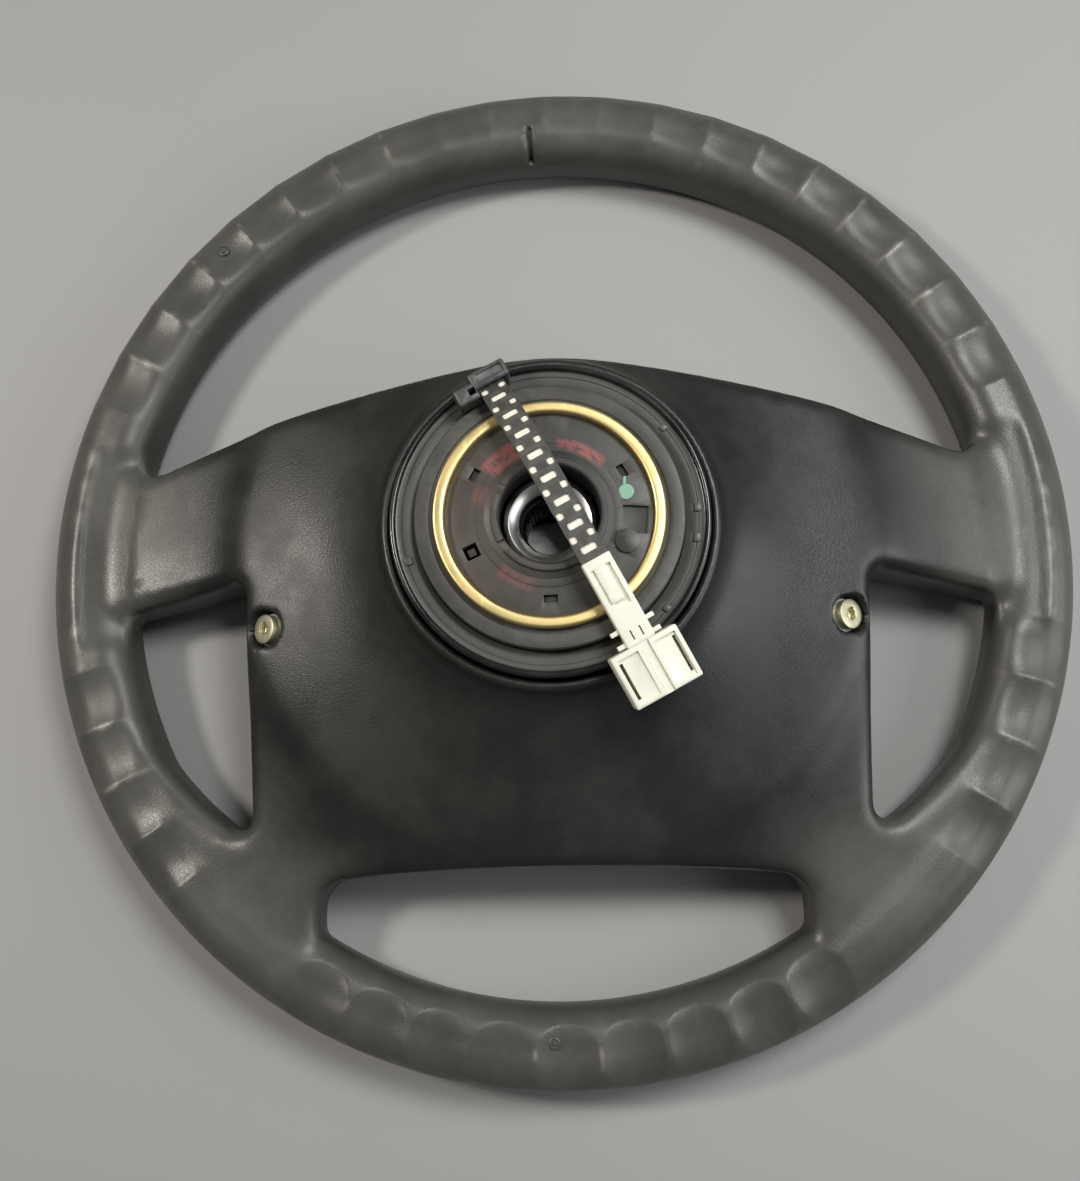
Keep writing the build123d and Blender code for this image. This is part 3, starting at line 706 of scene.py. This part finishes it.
def nearest_dimples(spot):
    """The dimples about a spot on the rim: their hollow there, their depth and their reach, 1 at the edge."""
    radius, angle, around = rim_place(spot)
    deepest_turn = 0.24
    across_room = 16
    along_room = 1.35
    end_half = 11.6
    squareness = 2.5
    across = (around - deepest_turn) * skin_arc
    found = []
    if radius < rim_inner_edge or abs(across) > across_room:
        return found
    for middle, half, deep, round_ends in rim_dimples:
        along = radians(off_angle(angle, middle)) * radius / half
        if abs(along) > along_room:
            continue
        if round_ends:
            reach = (abs(along) ** squareness + abs(across / end_half) ** squareness) ** (1 / squareness)
            hollow = deep * max(0.0, 1 - reach * reach)
        else:
            reach = abs(along)
            hollow = deep * max(0.0, 1 - reach * reach) * (1 - smooth_step(abs(across), 4.0, 13.5))
        found.append((hollow, deep, reach))
    return found


def near_crest(spot):
    """Whether a spot lies at the edge of a dimple."""
    return any(0.72 < reach < 1.22 for hollow, deep, reach in nearest_dimples(spot))


def crest_rub_and_glint(dimples, around):
    """How much hands have worn a spot on the crest between two dimples, and how much painted glint it gets.
    """
    crests = sorted((abs(reach - 1), deep) for hollow, deep, reach in dimples)
    if len(crests) < 2:
        return 0.0
    off_crest, deep = crests[1]
    crest_half = 0.16
    full_depth = 2.0
    rub_and_glint_amount = max(0.0, 1 - off_crest / crest_half) * deep / full_depth
    return rub_and_glint_amount * (1 - smooth_step(abs(around + 0.05), 0.45, 0.95))


def off_seam(spot):
    """Distance along the rim from the seam notch at its top, or nothing where the notch doesn't reach."""
    radius, angle, around = rim_place(spot)
    seam_angle = 92.2
    seam_room = 5
    along = abs(radians(angle - seam_angle) * radius)
    if along < seam_room and -1.25 < around < -0.25:
        return along
    return None


def thumb_channel(angle, around, middle):
    """A thumb channel's run, hollow and ridge at a spot."""
    middle_turn = -0.40
    half_width = 8.0
    ridge_place = 8.8
    ridge_half = 2.4
    run = 1 - smooth_step(abs(off_angle(angle, middle)), 11.0, 14.0)
    across = (around - middle_turn) * skin_arc
    hollow = 1.4 * max(0.0, 1 - (across / half_width) ** 2)
    ridge = max(0.0, 1 - ((abs(across) - ridge_place) / ridge_half) ** 2)
    return run, hollow, ridge


def refine(skin, wanted):
    """Divide the faces of a skin whose middle is wanted."""
    shape(skin)
    pick_faces(skin, lambda middle, normal: wanted(middle))
    bpy.ops.mesh.subdivide(number_cuts=1)
    leave()


def sculpt_rim(skin):
    """Press dimples, thumb channels and the seam notch into the rim, and note the crests and thumb ridges
    that hands have worn, which also carry a painted glint.
    """
    rear_turn = 1.75
    ridge_height = 0.5
    ridge_rub_and_glint = 0.6
    seam_depth = 2.2
    refine(skin, near_crest)
    refine(skin, lambda spot: off_seam(spot) is not None)
    work(skin, "SMOOTH", factor=0.5, iterations=2)
    # Wear on the crests and thumb ridges, also standing for painted glints on them.
    rub_and_glint = skin.data.attributes.new("rub_and_glint", "FLOAT", "POINT")
    normals = [Vector(vertex.normal) for vertex in skin.data.vertices]
    for vertex, normal in zip(skin.data.vertices, normals):
        radius, angle, around = rim_place(vertex.co)
        if radius < rim_inner_edge or abs(around) > rear_turn:
            continue
        dimples = nearest_dimples(vertex.co)
        depth = sum(hollow for hollow, deep, reach in dimples)
        rub_and_glint_amount = crest_rub_and_glint(dimples, around)
        for middle in (2.0, 178.0):
            run, hollow, ridge = thumb_channel(angle, around, middle)
            depth += run * hollow
            depth -= run * ridge_height * ridge
            # The thumb ridges are worn pale, which also stands for a painted highlight along them.
            rub_and_glint_amount = max(rub_and_glint_amount, run * ridge * ridge_rub_and_glint)
        seam = off_seam(vertex.co)
        if seam is not None:
            depth += seam_depth * (1 - smooth_step(seam, 0.2, 1.5))
        vertex.co -= normal * depth * MM
        rub_and_glint.data[vertex.index].value = rub_and_glint_amount * smooth_step(noise.noise(vertex.co * 170), -0.25, 0.45)


def melted(name, sources):
    """Copies of solids, melted together into one outer skin."""
    copies = []
    for source in sources:
        copy = bpy.data.objects.new(source + "_copy", nodes[source].data.copy())
        bpy.context.scene.collection.objects.link(copy)
        copies.append(copy)
    only(*copies)
    bpy.ops.object.join()
    skin = bpy.context.object
    skin.name = name
    bpy.ops.mesh.customdata_custom_splitnormals_clear()
    shape(skin, "VERT")
    pick_all()
    bpy.ops.mesh.remove_doubles(threshold=1e-6)
    leave()
    skin.data.use_remesh_preserve_attributes = False
    skin.data.remesh_voxel_size = 1.6 * MM
    bpy.ops.object.voxel_remesh()
    shape(skin, "VERT")
    mesh = bmesh.from_edit_mesh(skin.data)
    max(mesh.verts, key=lambda vertex: vertex.co.length).select_set(True)
    bmesh.update_edit_mesh(skin.data)
    bpy.ops.mesh.select_linked()
    bpy.ops.mesh.select_all(action="INVERT")
    bpy.ops.mesh.delete(type="VERT")
    leave()
    work(skin, "SMOOTH", factor=0.5, iterations=6)
    return skin


def soften_joins(skin):
    """Smooth the skin where the spokes run into the rim, and on the rear of the block."""
    join_radius = 166
    join_half = 13
    block_half = 96
    block_bottom = -92
    block_top = 30
    unit_room = 82
    joins = skin.vertex_groups.new(name="joins")
    for vertex in skin.data.vertices:
        x, y, z = vertex.co / MM
        radius = hypot(x, y)
        near = max(0.0, 1 - abs(radius - join_radius) / join_half) * smooth_step(z, 8, 20)
        on_block = abs(x) < block_half and block_bottom < y < block_top and radius > unit_room
        if on_block and vertex.normal.z > 0.6:
            near = smooth_step(min(block_half - abs(x), y - block_bottom, radius - unit_room), 0, 9)
        if near > 0:
            joins.add([vertex.index], near, "REPLACE")
    work(skin, "SMOOTH", factor=0.5, iterations=36, vertex_group="joins")


def screw_place(side):
    """Where a side screw's head meets the block, with Z along the screw."""
    spot = Matrix.Translation(Vector((side * 106.5, -30.3, 45.0)) * MM)
    return spot @ Matrix.Rotation(side * radians(36), 4, "Y")


def foam_moulding():
    """The moulding as one soft skin: its solids melted together, smoothed and sculpted."""
    skin = melted("foam_skin", ("armature", "foam_moulding"))
    plain_rim(skin)
    soften_joins(skin)
    plain_rim(skin)
    sculpt_rim(skin)
    for side in (1, -1):
        pocket = new_round("screw_pocket", 7.0, -4.9, 20.0)
        pocket.matrix_world = screw_place(side)
        cut(skin, pocket)
    work(skin, "DECIMATE", ratio=0.56)
    finished(skin, "wheel", foam_skin_finish, ["foam_moulding"], angle=60)


def moulding_pips():
    """Small round marks that the mould left on the rim."""
    rim_rear = 28.6
    section = [
        (0.02, -2.5), (2.1, -2.5), (2.1, 0.35), (1.7, 0.5), (1.4, 0.1), (0.9, 0.1), (0.6, 0.45), (0.02, 0.5)
    ]
    for i, (x, y) in enumerate(((-3.5, -177.2), (-130.6, 127.4))):
        pip = new_turned(f"moulding_pip_{i + 1}", section, steps=24)
        pip.location = (x * MM, y * MM, rim_rear * MM)
        finished(pip, "wheel", foam_skin_finish)


# The contact unit

def window(width, length, radius, angle, low, high):
    """A block on a spot of the contact unit, turned with its angle, to cut or to add."""
    tool = new_block("window", (width, length, high - low), (radius, 0, (low + high) / 2))
    tool.rotation_euler = (0, 0, radians(angle))
    tool.location = Matrix.Rotation(radians(angle), 4, "Z") @ tool.location
    return tool


def contact_face():
    """Wheel-side face: stepped disc with a collar, ring groove, snap windows, a boss and a recess."""
    face = new_turned("contact_face", [
        (17.3, 77.5), (44.0, 77.5), (44.0, 71.6), (45.8, 71.6), (46.0, 71.9), (46.0, 79.6), (45.6, 80.0),
        (41.0, 80.0), (40.7, 79.5), (39.35, 79.5), (39.35, 79.0), (35.45, 79.0), (35.45, 79.9), (35.2, 80.0),
        (26.0, 80.0), (25.2, 80.0), (24.9, 80.3), (22.4, 80.3), (22.0, 80.6), (20.0, 80.8), (19.9, 81.7),
        (19.6, 82.0), (17.9, 82.0), (17.3, 81.4),
    ], steps=160)
    window_radius = 29.0
    below, above = 76.5, 81.0
    recess_floor = 78.6
    for angle in (150, 30, -90):
        cut(face, window(2.6, 4.7, window_radius, angle, below, above))
    cut(face, window(5.0, 5.0, window_radius, 205, below, above))
    cut(face, window(8.5, 9.5, window_radius, -5, recess_floor, above))
    for angle in (151.6, 214.0):
        cut(face, window(3.2, 3.6, 19.0, angle, 80.9, 83.0))
    cut(face, new_round("boss", 4.1, 79.0, 80.8, (26.1, -10.0)), "UNION")
    bevelled(face, 0.14, 2, 40)
    finished(face, "wheel", contact_grey, ["rotor_cover"])


def brass_ring():
    """Brass ring with rounded edges, let into the contact face."""
    ring = new_turned("brass_ring", [
        (35.5, 79.05), (39.3, 79.05), (39.3, 82.45), (39.15, 82.75), (38.8, 82.95), (38.3, 83.0),
        (36.6, 83.0), (36.0, 82.9), (35.65, 82.65), (35.5, 82.3),
    ], steps=192)
    finished(ring, "wheel", ring_brass, ["slip_ring"], angle=50)


def contact_case():
    """Column-side ring: wall, stepped face, a glossy round lip, and small snap tabs."""
    case = new_turned("contact_case", [
        (53.0, 53.4), (54.7, 53.4), (55.0, 53.7), (55.0, 76.1), (54.9, 76.6), (54.6, 76.95), (54.1, 77.1),
        (53.5, 77.05), (53.15, 76.8), (53.0, 76.4), (52.8, 75.7), (52.4, 75.5), (50.9, 75.5), (50.6, 75.2),
        (46.6, 75.2), (46.35, 75.0), (46.35, 73.6), (52.7, 73.6), (53.0, 73.2),
    ], steps=192)
    for angle, width in ((2.5, 3.0), (-9.5, 3.4), (38.0, 2.6), (-40.0, 2.6), (196.0, 3.0)):
        tab = window(2.6, width, 50.4, angle, 74.6, 76.0)
        bevelled(tab, 0.35)
        cut(case, tab, "UNION")
    finished(case, "contact_stator", case_black, ["stator_ring"], angle=40)


def hub_sleeve():
    """Turned steel hub: a shallow conical seat, a short counterbore and fine splines in its bore."""
    bore = 9.0
    spline_count = 36
    spline_depth = 0.55
    sleeve = new_turned("hub_sleeve", [
        (13.0, 40.0), (21.6, 40.0), (22.0, 40.4), (22.0, 44.0), (16.5, 44.0), (16.5, 69.5), (16.0, 70.0),
        (14.5, 70.0), (14.3, 69.95), (11.0, 67.65), (10.9, 67.5), (10.9, 62.3), (10.6, 62.0), (10.0, 62.0),
        (9.6, 61.6), (9.6, 56.0), (bore, 55.4), (bore, 42.6), (9.6, 42.0), (12.6, 42.0), (13.0, 41.6),
    ], steps=8 * spline_count)
    for vertex in sleeve.data.vertices:
        x, y, z = vertex.co / MM
        if hypot(x, y) < bore + 0.05:
            tooth = spline_depth * smooth_step(cos(spline_count * atan2(y, x)), -0.4, 0.4)
            vertex.co.xy *= (bore + tooth) / bore
    finished(sleeve, "wheel", hub_steel, ["column_insert"])


def green_dot():
    """A dab of green paint on the contact face, with a thin run above it."""
    dot = new_round("green_dot", 2.6, 79.6, 80.22, (26.3, 7.1), 32)
    shape(dot)
    pick_faces(dot, lambda middle, normal: normal.z > 0.9)
    bpy.ops.mesh.inset(thickness=0.5 * MM, depth=0.12 * MM)
    bpy.ops.mesh.inset(thickness=0.7 * MM, depth=-0.06 * MM)
    close_up()
    run = new_block("green_run", (1.0, 4.0, 0.5), (25.7, 10.6, 79.95))
    bevelled(run, 0.2)
    only(run, dot)
    bpy.ops.object.join()
    for vertex in dot.data.vertices:
        drift = noise.noise_vector(vertex.co * 400) * 0.25 * MM
        vertex.co.xy += drift.xy
    finished(dot, "wheel", green_paint)


# The flat lead and its connector

def on_lead(distance, across, height):
    """A spot so far along the lead's heading and to its side, at a height, in metres."""
    x = lead_start[0] + distance * cos(lead_heading) - across * sin(lead_heading)
    y = lead_start[1] + distance * sin(lead_heading) + across * cos(lead_heading)
    return Vector((x, y, height)) * MM


def lead_line():
    """The lead's route from its clip to its connector, as one smooth line."""
    line = added("lead_line", bpy.ops.curve.primitive_nurbs_path_add)
    line.data.twist_mode = "Z_UP"
    spline = line.data.splines[0]
    for point, (distance, height) in zip(spline.points, lead_route):
        point.co = (*on_lead(distance, 0, height), 1.0)
    spline.order_u = 3
    spline.use_endpoint_u = True
    spline.resolution_u = 24
    return line


def line_points(line):
    """Points read along a line."""
    mesh = bpy.data.meshes.new_from_object(line)
    points = [vertex.co.copy() for vertex in mesh.vertices]
    bpy.data.meshes.remove(mesh)
    return points


def sliced(piece, places, axis):
    """Cut a flat piece across at each place along an axis."""
    normal = (1, 0, 0) if axis == 0 else (0, 1, 0)
    shape(piece)
    for spot in places:
        pick_all()
        point = [0, 0, 0]
        point[axis] = spot * MM
        bpy.ops.mesh.bisect(plane_co=point, plane_no=normal)
    leave()


def flat_strip(name, length, width):
    """A flat strip along X, from the origin."""
    strip = added(name, bpy.ops.mesh.primitive_plane_add, size=1.0, location=(length / 2 * MM, 0, 0))
    strip.scale = (length * MM, width * MM, 1)
    place(strip)
    return strip


def round_window_corners(guard, length):
    """Round the upright corners of the guard's windows."""
    end_room = 0.5
    sharp = 1.0
    shape(guard, "EDGE")
    mesh = bmesh.from_edit_mesh(guard.data)
    for edge in mesh.edges:
        first, second = (vertex.co for vertex in edge.verts)
        upright = (first - second).xy.length < 1e-6
        inside = end_room < first.x / MM < length - end_room
        edge.select_set(upright and inside and len(edge.link_faces) == 2 and edge.calc_face_angle() > sharp)
    mesh.select_flush_mode()
    bmesh.update_edit_mesh(guard.data)
    bpy.ops.mesh.bevel(offset=0.75 * MM, segments=4, affect="EDGES")
    leave()


def lead_guard(line, length):
    """Black guard with a ladder of windows: wide ones in its middle, pairs of small ones at its edges."""
    pitch = 8.95
    half = 1.2
    wide_count = 8
    wide_side = 2.75
    pair_inner = 2.05
    pair_outer = 4.45
    wide = [length - 3.9 - i * pitch for i in range(wide_count)]
    pairs = [middle + pitch / 2 for middle in wide if middle + pitch / 2 < length - 2]
    pairs.append(wide[-1] - pitch / 2)
    guard = flat_strip("lead_guard", length, lead_width)
    edges = [middle + side for middle in wide + pairs for side in (-half, half)]
    between = [middle + pitch / 4 for middle in wide + pairs if middle + pitch / 4 < length]
    sliced(guard, [spot for spot in sorted(edges + between) if 0.2 < spot < length - 0.2], 0)
    sliced(guard, (-pair_outer, -wide_side, -pair_inner, pair_inner, wide_side, pair_outer), 1)

    def in_window(middle, normal):
        x, y = middle.x / MM, abs(middle.y / MM)
        if any(abs(x - spot) < half for spot in wide):
            return y < wide_side
        return any(abs(x - spot) < half for spot in pairs) and pair_inner < y < pair_outer

    shape(guard)
    pick_faces(guard, in_window)
    bpy.ops.mesh.delete(type="FACE")
    leave()
    work(guard, "SOLIDIFY", thickness=lead_thickness * MM, offset=0.0)
    round_window_corners(guard, length)
    work(guard, "CURVE", object=line, deform_axis="POS_X")
    return finished(guard, "contact_stator", guard_black, ["lead_strap"])


def flat_cable(line, length):
    """White flat cable that shows in the guard's windows."""
    step = 1.5
    lift = 0.45
    cable = flat_strip("flat_cable", length - 0.4, 9.1)
    sliced(cable, [step * i for i in range(1, int(length / step))], 0)
    work(cable, "SOLIDIFY", thickness=0.7 * MM, offset=-1.0)
    work(cable, "CURVE", object=line, deform_axis="POS_X")
    for vertex in cable.data.vertices:
        vertex.co.z += lift * MM
    return finished(cable, "contact_stator", cable_white)


def at_lead_end(piece):
    """Move a piece from the origin, with X along the lead, to the lead's end."""
    (before, high), (last, low) = lead_route[-2:]
    tilt = atan2(high - low, last - before)
    turn = Matrix.Rotation(lead_heading, 4, "Z") @ Matrix.Rotation(tilt, 4, "Y")
    piece.matrix_world = Matrix.Translation(on_lead(last, 0, low)) @ turn
    place(piece)


# Lengths of the connector along the lead, in millimetres
grip_length = 31.0
shell_length = 18.8


def connector_grip():
    """Long neck of the connector: a latch tongue between slits, two small slots and two pegs a side."""
    grip = new_block("connector_grip", (grip_length, 10.3, 5.0), (grip_length / 2, 0, 0))
    bevelled(grip, 0.5, 3)
    cut(grip, new_block("hollow", (14.5, 7.0, 2.0), (10.5, 0, 2.3)))
    tongue = new_block("tongue", (13.0, 4.4, 1.6), (9.3, -0.2, 1.6))
    bevelled(tongue, 0.35)
    cut(grip, tongue, "UNION")
    latch = new_block("latch", (2.2, 4.4, 1.0), (14.8, -0.2, 2.1))
    bevelled(latch, 0.4)
    cut(grip, latch, "UNION")
    for across in (-1.7, 1.7):
        cut(grip, new_block("slot", (3.4, 0.6, 3.0), (27.6, across, 2.0)))
    for along in (24.75, 29.6):
        for side in (-1, 1):
            peg = new_block("peg", (1.6, 3.6, 2.5), (along, side * 6.2, 0))
            bevelled(peg, 0.3)
            cut(grip, peg, "UNION")
    at_lead_end(grip)
    return finished(grip, "contact_stator", shell_white, ["connector_stem"])


def connector_shell():
    """Wide head of the connector: framed panels, side slots, a middle channel and a socket with pins."""
    middle = grip_length + shell_length / 2
    mid_z = -1.75
    shell = new_block("connector_shell", (shell_length, 24.4, 11.5), (middle, 0, mid_z))
    bevelled(shell, 0.7, 3)
    for side in (-1, 1):
        panel = new_block("panel", (15.8, 8.0, 2.0), (middle + 0.3, side * 6.75, 4.2))
        bevelled(panel, 0.3)
        cut(shell, panel)
        cut(shell, new_block("slot", (13.0, 1.2, 9.0), (middle + 0.1, side * 9.75, 2.0)))
    cut(shell, new_block("channel", (20.0, 3.8, 2.0), (middle, 0, 4.0)))
    socket = new_block("socket", (20.0, 12.0, 6.0), (middle + shell_length / 2, 0, mid_z))
    bevelled(socket, 0.6)
    cut(shell, socket)
    for across in (-3.6, -1.2, 1.2, 3.6):
        cut(shell, new_block("pin", (8.0, 0.8, 0.8), (middle + 2.0, across, mid_z)), "UNION")
    at_lead_end(shell)
    return finished(shell, "contact_stator", shell_white, ["connector_head"])


def lead_clip():
    """Bridge-shaped clip that lets the lead out of the case, with a pierced lug beside it."""
    clip = new_block("lead_bridge", (6.2, 13.8, 12.0), (-3.1, 0.7, 81.5))
    bevelled(clip, 1.0, 4)
    lug = new_block("lug", (6.2, 8.1, 11.4), (-0.4, -9.05, 81.5))
    bevelled(lug, 1.0, 4)
    cut(clip, lug, "UNION")
    cut(clip, new_block("hole", (2.6, 2.6, 20.0), (-0.4, -6.95, 82.0)))
    cut(clip, new_block("mouth", (2.4, 10.6, 4.4), (0.2, 0, 84.2)))
    cut(clip, new_block("rib_gap", (3.0, 9.4, 3.0), (-3.4, 1.4, 88.1)))
    clip.matrix_world = Matrix.Translation(on_lead(0, 0, 0)) @ Matrix.Rotation(lead_heading, 4, "Z")
    place(clip)
    cut(clip, new_turned("lip_room", [(52.8, 70.0), (58.0, 70.0), (58.0, 77.2), (52.8, 77.2)], steps=96))
    cut(clip, new_round("rotor_room", 46.4, 70.0, 80.4, sides=160))
    bevelled(clip, 0.15, 2, 50)
    finished(clip, "contact_stator", clip_grey, ["lead_clip"])


def flat_lead():
    """The guard with its cable and connector, along the lead's line."""
    line = lead_line()
    points = line_points(line)
    length = sum((b - a).length for a, b in zip(points, points[1:]))
    guard = lead_guard(line, length / MM)
    cable = flat_cable(line, length / MM)
    bpy.data.objects.remove(line)
    pieces = [cable, connector_grip(), connector_shell()]


# The side screws and the horn springs

def side_screw(hand, side):
    """Zinc-plated screw: domed head on a washer face, with a worn six-sided socket."""
    screw = new_round("pad_screw_" + hand, 5.3, -4.5, -0.9)
    shape(screw)
    pick_faces(screw, lambda middle, normal: normal.z > 0.9)
    bpy.ops.mesh.inset(thickness=0.9 * MM, depth=0.0)
    bpy.ops.transform.translate(value=(0, 0, 0.25 * MM))
    bpy.ops.mesh.inset(thickness=1.2 * MM, depth=0.0)
    bpy.ops.mesh.select_all(action="DESELECT")
    pick_faces(screw, lambda middle, normal: normal.z < -0.9)
    bpy.ops.mesh.inset(thickness=2.3 * MM, depth=0.0)
    bpy.ops.mesh.extrude_region_move(TRANSFORM_OT_translate={"value": (0, 0, -20.4 * MM)})
    close_up()
    cut(screw, new_round("socket", 2.35, -3.2, 1.0, sides=6))
    cut(screw, new_block("wear", (1.6, 4.6, 3.0), (0.3, 0.2, -0.9)))
    bevelled(screw, 0.25, 2, 40)
    screw.matrix_world = screw_place(side)
    finished(screw, "wheel", screw_zinc, ["side_screw_" + hand])


def horn_spring(side):
    """Bowed leaf spring behind a horn button, made in its bowed rest shape only."""
    low, high = (Vector(corner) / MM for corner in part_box("horn_leaf_" + side))
    half, rise, thickness = (high.x - low.x) / 2, high.z - low.z, 0.5
    bow = (half**2 + rise**2) / (2 * rise)
    end_angle = asin(half / bow)
    spring = new_block("horn_spring_" + side, (2 * half, high.y - low.y, thickness), (0, 0, thickness / 2))
    sliced(spring, [half * (i / 8 - 1) for i in range(1, 16)], 0)
    for vertex in spring.data.vertices:
        x, y, z = vertex.co / MM
        angle = end_angle * x / half
        height = low.z + bow - (bow - z) * cos(angle)
        along = (low.x + high.x) / 2 + (bow - z) * sin(angle)
        vertex.co = Vector((along, (low.y + high.y) / 2 + y, min(height, high.z))) * MM
    bevelled(spring, 0.1, 2)
    finished(spring, "wheel", spring_bronze, ["horn_leaf_" + side])
    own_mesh(spring)


# The table and the light

def table_and_light():
    """Plain pale table, and soft light from both sides."""
    table = added("table", bpy.ops.mesh.primitive_plane_add, size=8.0, location=(0, 0, -0.0004))
    material, tree, shader = new_finish("pale_table", Roughness=0.62, Specular_IOR_Level=0.3)
    tone = mixed(tree, clouds(tree, 3.0, 3.0), (0.345, 0.345, 0.337), (0.385, 0.385, 0.377))
    give(tree, shader, Base_Color=tone)
    table.data.materials.append(material)
    for name, spot, size, power, colour in (
        ("right_light", (0.36, 0.26, 0.90), 0.34, 6.2, (1.0, 1.0, 0.98)),
        ("left_light", (-0.65, 0.14, 0.76), 0.14, 4.4, (1.0, 0.93, 0.85)),
        ("low_light", (0.88, -0.12, 0.48), 0.60, 4.0, (0.97, 1.0, 1.0)),
    ):
        light = added(name, bpy.ops.object.light_add, type="AREA", location=spot)
        light.data.size = size
        light.data.energy = power
        light.data.color = colour
        light.rotation_euler = (-Vector(spot)).to_track_quat("-Z", "Y").to_euler()
    world = bpy.data.worlds.new("soft_room")
    world.use_nodes = True
    room = world.node_tree.nodes["Background"].inputs
    room["Color"].default_value = (0.92, 0.95, 1.0, 1.0)
    room["Strength"].default_value = 0.11
    bpy.context.scene.world = world


set_camera()
flat_lead()
foam_moulding()
moulding_pips()
contact_face()
brass_ring()
contact_case()
hub_sleeve()
green_dot()
lead_clip()
side_screw("right", 1)
side_screw("left", -1)
horn_spring("right")
horn_spring("left")
table_and_light()
bpy.context.scene.view_settings.view_transform = "Standard"
